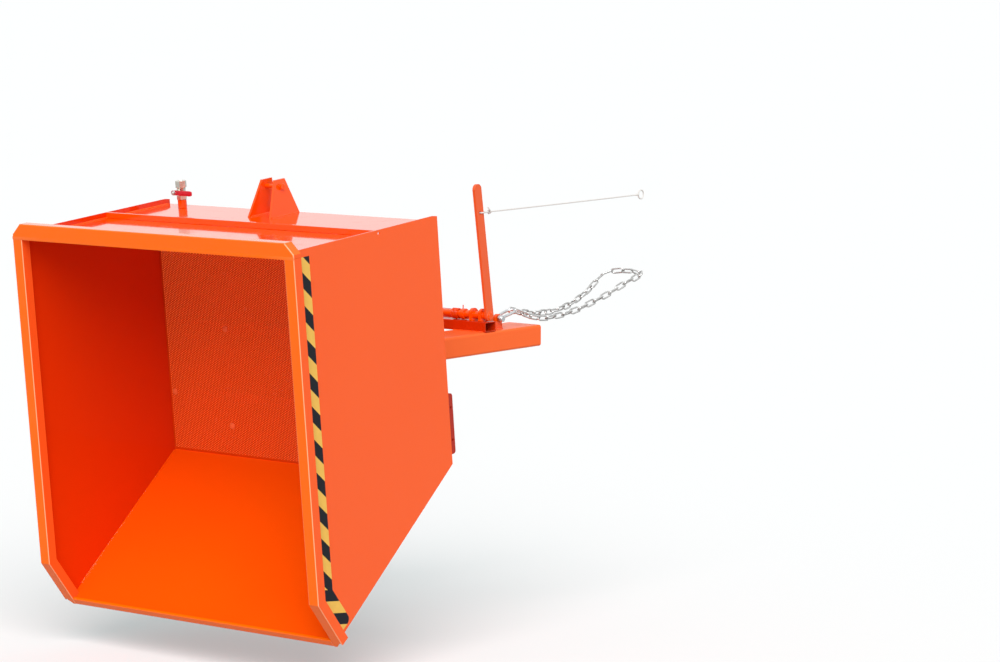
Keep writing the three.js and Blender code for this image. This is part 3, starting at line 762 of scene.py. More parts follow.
def swept(
    points: Sequence[Vector],
    radius: float | Sequence[float],
    sides: int = 12,
    closed: bool = False,
) -> bpy.types.Mesh:
    """A round tube along a line of points, with a UV map in metres along it and turns round it.

    Args:
        points: The centre line.
        radius: One radius, or one for each point.
        sides: Faces round the tube.
        closed: Whether the end joins the start.

    Returns:
        The tube.
    """
    count = len(points)
    radii = [radius] * count if isinstance(radius, float) else list(radius)
    shape = bmesh.new()
    uv = shape.loops.layers.uv.new("UVMap")
    ahead = [
        (points[(i + 1) % count if closed else min(i + 1, count - 1)]
         - points[(i - 1) % count if closed else max(i - 1, 0)]).normalized()
        for i in range(count)]
    side = ahead[0].orthogonal().normalized()
    rings: list[list[bmesh.types.BMVert]] = []
    for point, direction, size in zip(points, ahead, radii):
        side = (side - direction * side.dot(direction)).normalized()
        up = direction.cross(side)
        rings.append([
            shape.verts.new(point + size * (side * math.cos(a) + up * math.sin(a)))
            for a in steps_round(sides)])
    along = 0.0
    spans = range(count) if closed else range(count - 1)
    for i in spans:
        first, second = rings[i], rings[(i + 1) % count]
        step = (points[(i + 1) % count] - points[i]).length
        turn = 0
        if closed and i == count - 1:
            turn = min(range(sides), key=lambda k: (second[k].co - first[0].co).length)
        for k in range(sides):
            nearest = [first[k], first[(k + 1) % sides],
                       second[(k + 1 + turn) % sides], second[(k + turn) % sides]]
            face = shape.faces.new(nearest)
            marks = ((along, k), (along, k + 1), (along + step, k + 1), (along + step, k))
            for loop, (u, v) in zip(face.loops, marks):
                loop[uv].uv = (u, v / sides)
        along += step
    if not closed:
        cap(shape, rings)
    return sealed(shape)


def round_ended(points: Sequence[Vector], radius: float, sides: int = 12) -> bpy.types.Mesh:
    """A tube whose ends are rounded off.

    Args:
        points: The centre line.
        radius: The tube's radius.
        sides: Faces round the tube.

    Returns:
        The tube.
    """
    first = (points[0] - points[1]).normalized()
    last = (points[-1] - points[-2]).normalized()
    turns = [math.radians(a) for a in (15, 40, 65)]
    head = [points[0] + first * radius * math.cos(a) for a in turns]
    tail = [points[-1] + last * radius * math.cos(a) for a in reversed(turns)]
    ends = [radius * math.sin(a) for a in turns]
    return swept([*head, *points, *tail], [*ends, *([radius] * len(points)), *reversed(ends)], sides)


@dataclass(frozen=True)
class Ring:
    """One ring of a turned piece."""

    height: float
    radius: float
    hexagon: float | None = None

    def at(self, angle: float) -> float:
        """Radius at an angle, cut down to the hexagon where there is one.

        Args:
            angle: The angle, in radians.

        Returns:
            The radius.
        """
        if self.hexagon is None:
            return self.radius
        flat = self.hexagon * math.cos(math.pi / 6)
        return min(self.radius, flat / math.cos(angle % (math.pi / 3) - math.pi / 6))


def turned(rings: Sequence[Ring], sides: int = 48, loop: bool = False) -> bpy.types.Mesh:
    """A piece turned about Z, whose rings may be cut to a hexagon.

    Args:
        rings: The rings in order. A radius of 0 makes a pole.
        sides: Faces round it.
        loop: Whether the last ring joins the first, as in a nut with a bore.

    Returns:
        The closed piece.
    """
    shape = bmesh.new()
    rows = [[
        shape.verts.new((ring.at(a) * math.cos(a), ring.at(a) * math.sin(a), ring.height))
        for a in steps_round(sides)] for ring in rings]
    bridge(shape, [*rows, rows[0]] if loop else rows)
    if not loop:
        cap(shape, rows)
    bmesh.ops.remove_doubles(shape, verts=shape.verts, dist=MERGE_TURNED)
    return sealed(shape, SHARP_ANGLE)


def chamfered(
    radius: float, low: float, high: float, cut: float, hexagon: bool = False
) -> list[Ring]:
    """Outer rings of a bar or nut with chamfered ends.

    Args:
        radius: Its radius over the corners.
        low: Where it starts.
        high: Where it ends.
        cut: The chamfer.
        hexagon: Whether it is a hexagon.

    Returns:
        The rings from low to high.
    """
    corner = radius if hexagon else None
    end = radius * math.cos(math.pi / 6) - cut / 2 if hexagon else radius - cut
    return [Ring(low, end, corner), Ring(low + cut, radius, corner),
            Ring(high - cut, radius, corner), Ring(high, end, corner)]


def rod(low: float, high: float, radius: float, sides: int) -> bpy.types.Mesh:
    """A plain round rod along Z."""
    return turned([Ring(low, 0.0), Ring(low, radius), Ring(high, radius), Ring(high, 0.0)], sides)


def hexagon_bar(low: float, high: float, radius: float, cut: float) -> bpy.types.Mesh:
    """A hexagon bar along Z with chamfered ends."""
    return turned([Ring(low, 0.0), *chamfered(radius, low, high, cut, True), Ring(high, 0.0)])


def axis_frame(origin: Point | Vector, direction: Point | Vector) -> Matrix:
    """The place of a piece turned about Z that should point another way.

    Args:
        origin: Where its own origin goes.
        direction: Where its Z goes.

    Returns:
        The matrix.
    """
    turn = Vector(direction).to_track_quat("Z", "Y").to_matrix().to_4x4()
    return Matrix.Translation(Vector(origin)) @ turn


def box_mesh(low: Point, high: Point, cut: float = 0.0) -> bpy.types.Mesh:
    """A block with its edges broken.

    Args:
        low: Its lowest corner.
        high: Its highest corner.
        cut: How far its edges are bevelled.

    Returns:
        The block.
    """
    shape = bmesh.new()
    size = Vector(high) - Vector(low)
    middle = (Vector(high) + Vector(low)) / 2
    bmesh.ops.create_cube(shape, size=1.0)
    bmesh.ops.scale(shape, vec=size, verts=shape.verts)
    bmesh.ops.translate(shape, vec=middle, verts=shape.verts)
    if cut:
        bmesh.ops.bevel(shape, geom=shape.edges, offset=cut, segments=3, profile=0.5, affect="EDGES")
    return smoothed(mesh_of(shape), BLOCK_ANGLE)


EdgeTest = Callable[[Vector, Vector, Vector], bool]


def dressed(
    node: str,
    edge: float = 0.0008,
    wide: EdgeTest | None = None,
    wide_edge: float = 0.0,
    turn: Matrix | None = None,
) -> bpy.types.Mesh:
    """A CAD node's shape with rounded edges.

    Args:
        node: The CAD node.
        edge: The rounding of its sharp edges.
        wide: Says from an edge's middle and its two normals whether it is a folded one.
        wide_edge: The rounding of a folded edge.
        turn: The place in which that test reads the node.

    Returns:
        The new mesh.
    """
    shape = bmesh.new()
    shape.from_mesh(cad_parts[node].data)
    bmesh.ops.remove_doubles(shape, verts=shape.verts, dist=MERGE_CAD)
    bmesh.ops.dissolve_limit(
        shape, angle_limit=math.radians(FLAT_ANGLE), verts=shape.verts, edges=shape.edges)
    weight = shape.edges.layers.float.new("bevel_weight_edge")
    largest = max(edge, wide_edge)
    inverse = (turn or Matrix.Identity(4)).inverted()
    spin = inverse.to_3x3()
    for line in shape.edges:
        if len(line.link_faces) != 2 or line.calc_face_angle(0.0) < math.radians(SHARP_ANGLE):
            continue
        one, other = (spin @ f.normal for f in line.link_faces)
        middle = inverse @ ((line.verts[0].co + line.verts[1].co) / 2)
        folded = wide is not None and line.is_convex and wide(middle, one, other)
        line[weight] = (wide_edge if folded else edge) / largest
    holder = held(mesh_of(shape))
    holder.data.polygons.foreach_set("use_smooth", [True] * len(holder.data.polygons))
    bevel = holder.modifiers.new("edges", "BEVEL")
    bevel.limit_method = "WEIGHT"
    bevel.width = largest
    bevel.segments = 3 if wide else 2
    bevel.face_strength_mode = "FSTR_AFFECTED"
    bevel.miter_outer = "MITER_ARC"
    flat = holder.modifiers.new("flat", "WEIGHTED_NORMAL")
    flat.use_face_influence = True
    return evaluated(holder)


def piece(
    name: str,
    mesh: bpy.types.Mesh,
    finish: Coat,
    body: Body,
    replaces: Sequence[str] = (),
) -> bpy.types.Object:
    """Finishes a mesh as a piece of the object.

    Args:
        name: The piece's name.
        mesh: Its mesh, in place.
        finish: Its finish.
        body: What it moves with.
        replaces: The CAD nodes that it stands for.

    Returns:
        The piece.
    """
    mesh.name = name
    mesh.materials.clear()
    mesh.materials.append(material_of(finish))
    made = bpy.data.objects.new(name, mesh)
    bpy.context.scene.collection.objects.link(made)
    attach(made, body.value)
    if replaces:
        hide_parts(*replaces)
    log.info("%s: %d faces, on %s", name, len(mesh.polygons), body.value)
    return made


def clad(node: str, ending: str, finish: Coat, body: Body, edge: float) -> None:
    """Makes a CAD node's own shape, with rounded edges, the piece that stands for it.

    Args:
        node: The CAD node.
        ending: What follows its name in the piece's name.
        finish: The piece's finish.
        body: What it moves with.
        edge: The rounding of its edges.
    """
    piece(f"{node}_{ending}", dressed(node, edge), finish, body, [node])


# Repeated shapes

# Keeps a whole number above its own value before it is rounded down
NUDGE = 0.001
# Degrees by which the chain's links lean from upright and level
LINK_LEAN = 38.0
# A weld bead: metres from ripple to ripple, points to a ripple, and shares of its radius
BEAD_RIPPLE = 0.005
BEAD_STEP = 0.34
BEAD_SIDES = 8
BEAD_MEAN = 0.72
BEAD_WAVE = 0.13
BEAD_DRIFT = 0.5
BEAD_DRIFT_SCALE = 55.0
# Where a bead's centre lies: off the carrying plate, off the piece's side and short of its end
BEAD_LIFT = 0.0008
BEAD_SIDE = 0.0006
BEAD_SUNK = 0.0004
BEAD_END = 0.004


class Tree:
    """A Geometry Nodes tree with named inputs, run once on a mesh."""

    def __init__(self, name: str, inputs: dict[str, str]) -> None:
        """Makes the tree and its inputs.

        Args:
            name: The tree's name.
            inputs: The socket type of each named input.
        """
        self.group = bpy.data.node_groups.new(name, "GeometryNodeTree")
        face = self.group.interface
        face.new_socket("Geometry", in_out="INPUT", socket_type="NodeSocketGeometry")
        for label, kind in inputs.items():
            face.new_socket(label, in_out="INPUT", socket_type=kind)
        face.new_socket("Finish", in_out="INPUT", socket_type="NodeSocketMaterial")
        face.new_socket("Geometry", in_out="OUTPUT", socket_type="NodeSocketGeometry")
        self.build = Build(self.group)
        self.entry = self.build.node("NodeGroupInput")

    def close(self, geometry: Sock, merge: float = 0.0) -> None:
        """Ends the tree.

        Args:
            geometry: What it makes.
            merge: The distance at which points are merged, or 0.
        """
        real = self.build.node("GeometryNodeRealizeInstances", None, {0: geometry})[0]
        if merge:
            real = self.build.node(
                "GeometryNodeMergeByDistance", None, {"Geometry": real, "Distance": merge})[0]
        painted = self.build.node("GeometryNodeSetMaterial", None, {
            "Geometry": real, "Material": self.entry["Finish"]})[0]
        self.build.node("NodeGroupOutput", None, {0: painted})

    def run(
        self, mesh: bpy.types.Mesh, finish: Finish, values: dict[str, Any]
    ) -> bpy.types.Mesh:
        """Runs the tree on a mesh.

        Args:
            mesh: What it starts from, which is used up.
            finish: The finish of what it makes.
            values: The value of each named input.

        Returns:
            A plain mesh.
        """
        holder = held(mesh)
        modifier = holder.modifiers.new("repeat", "NODES")
        modifier.node_group = self.group
        given = {**values, "Finish": material_of(finish)}
        for item in self.group.interface.items_tree:
            if item.item_type == "SOCKET" and item.in_out == "INPUT" and item.name in given:
                modifier[item.identifier] = given[item.name]
        return evaluated(holder)


@cache
def perforation() -> Tree:
    """A staggered field of sheet cells with one hole each.

    Returns:
        The tree.
    """
    tree = Tree("perforated_sheet", {
        "Cell": "NodeSocketObject", "Columns": "NodeSocketInt", "First column": "NodeSocketInt",
        "Rows": "NodeSocketInt", "Pitch": "NodeSocketFloat", "Start": "NodeSocketFloat"})
    build, entry = tree.build, tree.entry
    index = build.node("GeometryNodeInputIndex")[0] + NUDGE
    column = (index / entry["Rows"]).maths("FLOOR")
    row = (index % entry["Rows"]).maths("FLOOR")
    number = column + entry["First column"]
    along = (row + 0.5 + (number % 2.0) * 0.5) * entry["Pitch"] + entry["Start"]
    across = number * entry["Pitch"] * (math.sqrt(3) / 2)
    place = build.node("ShaderNodeCombineXYZ", None, {"X": along, "Y": across})[0]
    count = entry["Columns"] * entry["Rows"]
    points = build.node("GeometryNodePoints", None, {"Count": count, "Position": place})[0]
    cell = build.node("GeometryNodeObjectInfo", None, {"Object": entry["Cell"]})["Geometry"]
    tree.close(build.node("GeometryNodeInstanceOnPoints", None, {
        "Points": points, "Instance": cell})[0], MERGE_CELLS)
    return tree


@cache
def copies() -> Tree:
    """Copies of one object on a mesh's points.

    Returns:
        The tree.
    """
    tree = Tree("copies", {"Copy": "NodeSocketObject"})
    copy = tree.build.node("GeometryNodeObjectInfo", None, {"Object": tree.entry["Copy"]})
    tree.close(tree.build.node("GeometryNodeInstanceOnPoints", None, {
        "Points": tree.entry["Geometry"], "Instance": copy["Geometry"]})[0])
    return tree


@cache
def linked_chain() -> Tree:
    """Links along a line of edges, each a quarter turn from the last.

    Returns:
        The tree.
    """
    tree = Tree("linked_chain", {"Link": "NodeSocketObject", "Count": "NodeSocketInt"})
    build, entry = tree.build, tree.entry
    curve = build.node("GeometryNodeMeshToCurve", None, {0: entry["Geometry"]})[0]
    spaced = build.node("GeometryNodeResampleCurve", None, {
        "Curve": curve, "Count": entry["Count"]})[0]
    tangent = build.node("GeometryNodeInputTangent")[0]
    facing = build.node("FunctionNodeAlignRotationToVector", {"axis": "X", "pivot_axis": "AUTO"}, {
        "Vector": tangent})[0]
    index = build.node("GeometryNodeInputIndex")[0]
    quarter = (index % 2.0) * (math.pi / 2) + math.radians(LINK_LEAN)
    spin = build.node("FunctionNodeAxisAngleToRotation", None, {
        "Axis": (1.0, 0.0, 0.0), "Angle": quarter})[0]
    turn = build.node("FunctionNodeRotateRotation", {"rotation_space": "LOCAL"}, {
        0: facing, 1: spin})[0]
    link = build.node("GeometryNodeObjectInfo", None, {"Object": entry["Link"]})["Geometry"]
    tree.close(build.node("GeometryNodeInstanceOnPoints", None, {
        "Points": spaced, "Instance": link, "Rotation": turn})[0])
    return tree


@cache
def weld_bead() -> Tree:
    """A rippled bead along a mesh's edges.

    Returns:
        The tree.
    """
    tree = Tree("weld_bead", {
        "Radius": "NodeSocketFloat", "Ripple": "NodeSocketFloat", "Sides": "NodeSocketInt"})
    build, entry = tree.build, tree.entry
    curve = build.node("GeometryNodeMeshToCurve", None, {0: entry["Geometry"]})[0]
    fine = build.node("GeometryNodeResampleCurve", {"mode": "LENGTH"}, {
        "Curve": curve, "Length": entry["Ripple"] * BEAD_STEP})[0]
    length = build.node("GeometryNodeSplineParameter")["Length"]
    wave = (length / entry["Ripple"] * (2 * math.pi)).maths("SINE")
    drift = build.noise(build.node("GeometryNodeInputPosition")[0], BEAD_DRIFT_SCALE)
    size = entry["Radius"] * (wave * BEAD_WAVE + BEAD_MEAN + drift * BEAD_DRIFT)
    profile = build.node("GeometryNodeCurvePrimitiveCircle", None, {
        "Resolution": entry["Sides"], "Radius": 1.0})[0]
    bead = build.node("GeometryNodeCurveToMesh", None, {
        "Curve": fine, "Profile Curve": profile, "Scale": size, "Fill Caps": True})[0]
    tree.close(build.node("GeometryNodeSetShadeSmooth", None, {"Geometry": bead})[0])
    return tree


def lines(paths: Iterable[Sequence[Point | Vector]]) -> bpy.types.Mesh:
    """A mesh of bare edges along several paths.

    Args:
        paths: The paths.

    Returns:
        The mesh.
    """
    shape = bmesh.new()
    for path in paths:
        row = [shape.verts.new(Vector(p)) for p in path]
        for a, b in zip(row, row[1:]):
            shape.edges.new((a, b))
    return mesh_of(shape)


def scattered(places: Sequence[Point], copy: bpy.types.Mesh, finish: Coat) -> bpy.types.Mesh:
    """Copies of a mesh at several places.

    Args:
        places: Where they go.
        copy: What is copied, which is used up.
        finish: Their finish.

    Returns:
        One mesh.
    """
    shape = bmesh.new()
    for place in places:
        shape.verts.new(place)
    model = held(copy)
    mesh = copies().run(mesh_of(shape), finish, {"Copy": model})
    bpy.data.objects.remove(model)
    return smoothed(mesh, SHARP_ANGLE)


def beads(
    name: str,
    paths: Iterable[Sequence[Point | Vector]],
    body: Body,
    radius: float,
    place: Matrix | None = None,
) -> None:
    """The painted weld beads of one body.

    Args:
        name: The piece's name.
        paths: The seams that they follow.
        body: What they move with.
        radius: The bead's radius.
        place: Where the seams' own frame stands.
    """
    mesh = weld_bead().run(lines(paths), PAINT, {
        "Radius": radius, "Ripple": BEAD_RIPPLE, "Sides": BEAD_SIDES})
    piece(name, moved(mesh, place or Matrix.Identity(4)), PAINT, body)


# The studio


@dataclass
class Camera:
    """The camera at the photograph's viewing angle."""

    place: Point = (9.7055, 7.755, 1.348)
    heading: float = 37.875
    pitch: float = 6.395
    roll: float = 0.104
    lens: float = 124.70
    sensor: float = 36.0
    reach: float = 1000.0

    def make(self) -> None:
        """Builds the camera and makes it the scene's."""
        heading, pitch, roll = (math.radians(a) for a in (self.heading, self.pitch, self.roll))
        level = Vector((-math.cos(heading), -math.sin(heading), 0.0))
        up = Vector(UP)
        forward = level * math.cos(pitch) - up * math.sin(pitch)
        upright = up * math.cos(pitch) + level * math.sin(pitch)
        across = Vector((-math.sin(heading), math.cos(heading), 0.0))
        right = across * math.cos(roll) + upright * math.sin(roll)
        top = upright * math.cos(roll) - across * math.sin(roll)
        data = bpy.data.cameras.new("camera")
        data.lens = self.lens
        data.sensor_width = self.sensor
        data.clip_end = self.reach
        camera = bpy.data.objects.new("camera", data)
        turn = Matrix((right, top, -forward)).transposed().to_4x4()
        camera.matrix_world = Matrix.Translation(self.place) @ turn
        bpy.context.scene.collection.objects.link(camera)
        bpy.context.scene.camera = camera


@dataclass
class Studio:
    """Pale floor, white surroundings and soft light."""

    floor_height: float = -1.049
    floor_size: float = 400.0
    surround: float = 0.55
    key_strength: float = 2.8
    key_from: Point = (0.60, 0.46, 0.68)
    key_angle: float = 50.0

    def make(self) -> None:
        """Builds the floor, the world and the key light."""
        self.make_floor()
        self.make_world()
        self.make_key()
        bpy.context.scene.view_settings.view_transform = "Standard"

    def make_floor(self) -> None:
        """Builds the floor."""
        half = self.floor_size / 2
        shape = bmesh.new()
        corners = ((-half, -half), (half, -half), (half, half), (-half, half))
        shape.faces.new([shape.verts.new((x, y, self.floor_height)) for x, y in corners])
        mesh = mesh_of(shape, "floor")
        mesh.materials.append(material_of(Backdrop()))
        floor = bpy.data.objects.new("floor", mesh)
        bpy.context.scene.collection.objects.link(floor)

    def make_world(self) -> None:
        """Builds a white world that lights the object less than it shows."""
        world = bpy.data.worlds.new("studio")
        world.use_nodes = True
        world.node_tree.nodes.clear()
        build = Build(world.node_tree)
        path = build.node("ShaderNodeLightPath")
        seen = path["Is Camera Ray"].maths("MAXIMUM", path["Is Glossy Ray"])
        seen = seen.maths("MAXIMUM", path["Is Transmission Ray"])
        light = build.node("ShaderNodeBackground", None, {
            "Color": (1.0, 1.0, 1.0, 1.0), "Strength": seen * (1.0 - self.surround) + self.surround})
        build.node("ShaderNodeOutputWorld", None, {"Surface": light[0]})
        bpy.context.scene.world = world

    def make_key(self) -> None:
        """Builds the soft key light."""
        lamp = bpy.data.lights.new("key", "SUN")
        lamp.energy = self.key_strength
        lamp.angle = math.radians(self.key_angle)
        key = bpy.data.objects.new("key", lamp)
        key.rotation_euler = Vector(self.key_from).to_track_quat("Z", "Y").to_euler()
        bpy.context.scene.collection.objects.link(key)


# Cords


@dataclass
class ReleaseRope:
    """The braided release rope, from the lever's knot to its end loop."""

    radius: float = 0.0025
    loop_radius: float = 0.016
    loop_gap: float = 0.0003
    loop_steps: int = 40
    route: tuple[Point, ...] = (
        (0.2784, 0.381, 0.423), (0.23, 0.384, 0.4238), (0.18, 0.3872, 0.4246),
        (0.13, 0.3903, 0.4255), (0.08, 0.3935, 0.4264), (0.03, 0.3967, 0.4273),
        (-0.02, 0.3998, 0.4283), (-0.07, 0.403, 0.4292), (-0.12, 0.4062, 0.4302),
        (-0.17, 0.4093, 0.4312), (-0.22, 0.4125, 0.4322), (-0.27, 0.4157, 0.4332),
        (-0.32, 0.4188, 0.4343), (-0.37, 0.422, 0.4353), (-0.42, 0.4252, 0.4364),
        (-0.47, 0.4283, 0.4375), (-0.525, 0.4318, 0.4387))
    sleeve_radius: float = 0.0039
    sleeve_ends: Flat = (-0.004, 0.012)
    sleeve_cut: float = 0.0008
    eye_centre: Point = (0.3428, 0.381, 0.42258)
    eye_length: float = 0.056
    eye_half_width: float = 0.0089
    eye_shares: tuple[Flat, ...] = (
        (0.9, 0.14), (0.7, 0.62), (0.45, 0.96), (0.2, 1.0), (0.1, 0.97), (0.052, 0.58), (0.048, 0.0))
    knot_centre: Point = (0.2868, 0.381, 0.42258)
    knot_steps: int = 72
    knot_radius: float = 0.0031
    knot_shares: Flat = (1.35, 0.75)
    knot_depth: float = 0.0024
    knot_strand: float = 0.0023
    tail_strand: float = 0.0021
    tail: tuple[Point, ...] = (
        (0.001, 0.004, 0.003), (0.006, 0.008, 0.006), (0.012, 0.009, 0.011), (0.017, 0.007, 0.017))

    def make(self) -> None:
        """Builds the rope, its end loop and the knot on the lever."""
        points = smooth_route(self.route, 4)
        rope = piece("rope_run", swept(points, self.radius), BRAID, Body.FRAME, ["release_rope"])
        loop = piece("rope_loop", self.loop_mesh(), BRAID, Body.FRAME, ["rope_end_loop"])
        round(route_length(points), 4)
        2 * self.radius
        piece("lever_knot", self.knot_mesh(), BRAID, Body.LEVER, ["rope_knot"])

    def loop_mesh(self) -> bpy.types.Mesh:
        """The spliced loop at the rope's far end, with its whipping.

        Returns:
            The loop and its sleeve.
        """
        end = Vector(self.route[-1])
        centre = end - Vector((self.loop_gap + self.loop_radius + self.radius, 0.0, 0.0))
        ring = [centre + self.loop_radius * Vector((math.cos(a), 0.0, math.sin(a)))
                for a in steps_round(self.loop_steps)]
        low, high = self.sleeve_ends
        sleeve = turned([Ring(low, 0.0), *chamfered(self.sleeve_radius, low, high, self.sleeve_cut),
                         Ring(high, 0.0)], 20)
        along = Vector(self.route[-2]) - end
        return joined([swept(ring, self.radius, closed=True), moved(sleeve, axis_frame(end, along))])

    def knot_mesh(self) -> bpy.types.Mesh:
        """The eye through the lever's hole and the knot that holds it, with its short tail.

        Returns:
            The eye, knot and tail.
        """
        centre, eye = Vector(self.knot_centre), Vector(self.eye_centre)
        half = [eye + Vector((-self.eye_length * a, self.eye_half_width * b, 0.0))
                for a, b in self.eye_shares]
        back = [Vector((p.x, 2 * eye.y - p.y, p.z)) for p in reversed(half[:-1])]
        bow = swept(smooth_route([tuple(p) for p in [*half, *back]], 6), self.radius)
        mean, lobe = self.knot_shares
        turns = []
        for t in steps_round(self.knot_steps):
            spread = self.knot_radius * (mean + lobe * math.cos(3 * t))
            turns.append(centre + Vector((
                self.knot_depth * math.sin(3 * t), spread * math.cos(2 * t), spread * math.sin(2 * t))))
        knot = swept(turns, self.knot_strand, 10, True)
        tail = [tuple(centre + Vector(p)) for p in self.tail]
        return joined([bow, knot, round_ended(smooth_route(tail, 5), self.tail_strand, 10)])


@dataclass
class SafetyChain:
    """The safety chain, which hangs in a long bight from its shackle and back to it."""

    wire: float = 0.003
    link_pitch: float = 0.042
    first_link: float = 0.0105
    link_half_width: float = 0.009
    route: tuple[Point, ...] = (
        (0.1044, 0.336, 0.062), (0.05, 0.33, 0.052), (-0.01, 0.325, 0.043), (-0.078, 0.318, 0.036),
        (-0.146, 0.311, 0.033), (-0.229, 0.302, 0.038), (-0.3, 0.294, 0.048), (-0.371, 0.287, 0.068),
        (-0.442, 0.279, 0.093), (-0.505, 0.272, 0.126), (-0.545, 0.285, 0.146),
        (-0.563, 0.318, 0.152), (-0.566, 0.36, 0.153), (-0.56, 0.4, 0.152), (-0.545, 0.43, 0.149),
        (-0.512, 0.441, 0.141), (-0.452, 0.433, 0.123), (-0.367, 0.422, 0.091),
        (-0.282, 0.411, 0.066), (-0.214, 0.403, 0.047), (-0.138, 0.393, 0.033),
        (-0.062, 0.383, 0.026), (-0.001, 0.376, 0.028), (0.05, 0.368, 0.041), (0.1044, 0.361, 0.06))
    cord_width: float = 0.024
    arc_steps: int = 8
    pin_centre: Point = (0.2, 0.35, 0.042)
    rise: float = 14.0
    rod: float = 0.005
    half_width: float = 0.015
    reach: float = 0.096
    eye: float = 0.012
    eye_length: float = 0.012
    eye_cut: float = 0.0015
    pin: float = 0.006
    play: float = 0.0003
    hexagon: float = 0.0118
    hexagon_length: float = 0.005
    hexagon_cut: float = 0.0009
    bow_shares: tuple[Flat, ...] = (
        (0.02, 1.0), (0.3, 1.05), (0.6, 1.25), (0.86, 1.0), (1.0, 0.0),
        (0.86, -1.0), (0.6, -1.25), (0.3, -1.05), (0.02, -1.0))

    def make(self) -> None:
        """Builds the chain, the shackle and its pin."""
        points = smooth_route(self.route, 6)
        length = route_length(points)
        middles = trimmed(points, self.first_link)
        spans = round(route_length(middles) / self.link_pitch)
        model = held(self.link_mesh(route_length(middles) / spans))
        mesh = linked_chain().run(lines([middles]), CHAIN, {"Link": model, "Count": spans + 1})
        bpy.data.objects.remove(model)
        chain = piece(
            "chain_links", smoothed(mesh, SOFT_ANGLE), CHAIN, Body.FRAME, ["safety_chain"])
        piece("shackle_bow", self.shackle_mesh(), ZINC, Body.FRAME, ["shackle"])
        piece("shackle_bolt", self.bolt_mesh(), ZINC, Body.FRAME, ["shackle_pin"])

    def link_mesh(self, pitch: float) -> bpy.types.Mesh:
        """One link along X, round its own centre.

        Args:
            pitch: The distance from one link to the next.

        Returns:
            The link.
        """
        centre = pitch / 2 + self.wire - self.link_half_width
        ring: list[Vector] = []
        for side, start in ((1, 90.0), (-1, -90.0)):
            for i in range(self.arc_steps + 1):
                angle = math.radians(start - 180.0 / self.arc_steps * i)
                ring.append(Vector((
                    side * centre + self.link_half_width * math.cos(angle),
                    self.link_half_width * math.sin(angle), 0.0)))
        return swept(ring, self.wire, 10, True)

    def shackle_mesh(self) -> bpy.types.Mesh:
        """The bow with its two eyes, tilted up.

        Returns:
            The shackle, in place.
        """
        bow = [(-self.reach * a, self.half_width * b, 0.0) for a, b in self.bow_shares]
        parts = [swept(smooth_route(bow, 8), self.rod, 16)]
        half, bore = self.eye_length / 2, self.pin + self.play
        for side in (1, -1):
            eye = turned([*chamfered(self.eye, -half, half, self.eye_cut),
                          Ring(half, bore), Ring(-half, bore)], 32, True)
            parts.append(moved(eye, axis_frame((0.0, side * self.half_width, 0.0), ACROSS)))
        place = Matrix.Translation(self.pin_centre) @ Matrix.Rotation(
            math.radians(self.rise), 4, "Y")
        return moved(joined(parts), place)

    def bolt_mesh(self) -> bpy.types.Mesh:
        """The pin with its hexagon head and nut.

        Returns:
            The pin, in place.
        """
        side = self.half_width + self.eye_length / 2 + 2 * self.play
        ends = [hexagon_bar(low, low + self.hexagon_length, self.hexagon, self.hexagon_cut)
                for low in (side, -side - self.hexagon_length)]
        return moved(joined([rod(-side, side, self.pin, 24), *ends]),
                     axis_frame(self.pin_centre, ACROSS))


# The hopper


@dataclass(frozen=True)
class TipFrame:
    """The hopper's own frame: X from its rear wall, Z from its floor, tipped about its hinge."""

    hinge_x: float = 0.783622
    hinge_z: float = 0.085
    from_wall: float = 0.357
    under_floor: float = 0.030
    angle: float = 95.7

    def matrix(self) -> Matrix:
        """Where the hopper's own frame stands at rest."""
        return (
            Matrix.Translation((self.hinge_x, 0.0, self.hinge_z))
            @ Matrix.Rotation(math.radians(self.angle), 4, "Y")
            @ Matrix.Translation((-self.from_wall, 0.0, self.under_floor)))


TIP = TipFrame().matrix()

# Limits on a face's normal that tell the rim's front and sides from its other faces
FRONT_LEAST = 0.5
SIDE_MOST = 0.45
LEVEL_MOST = 0.3


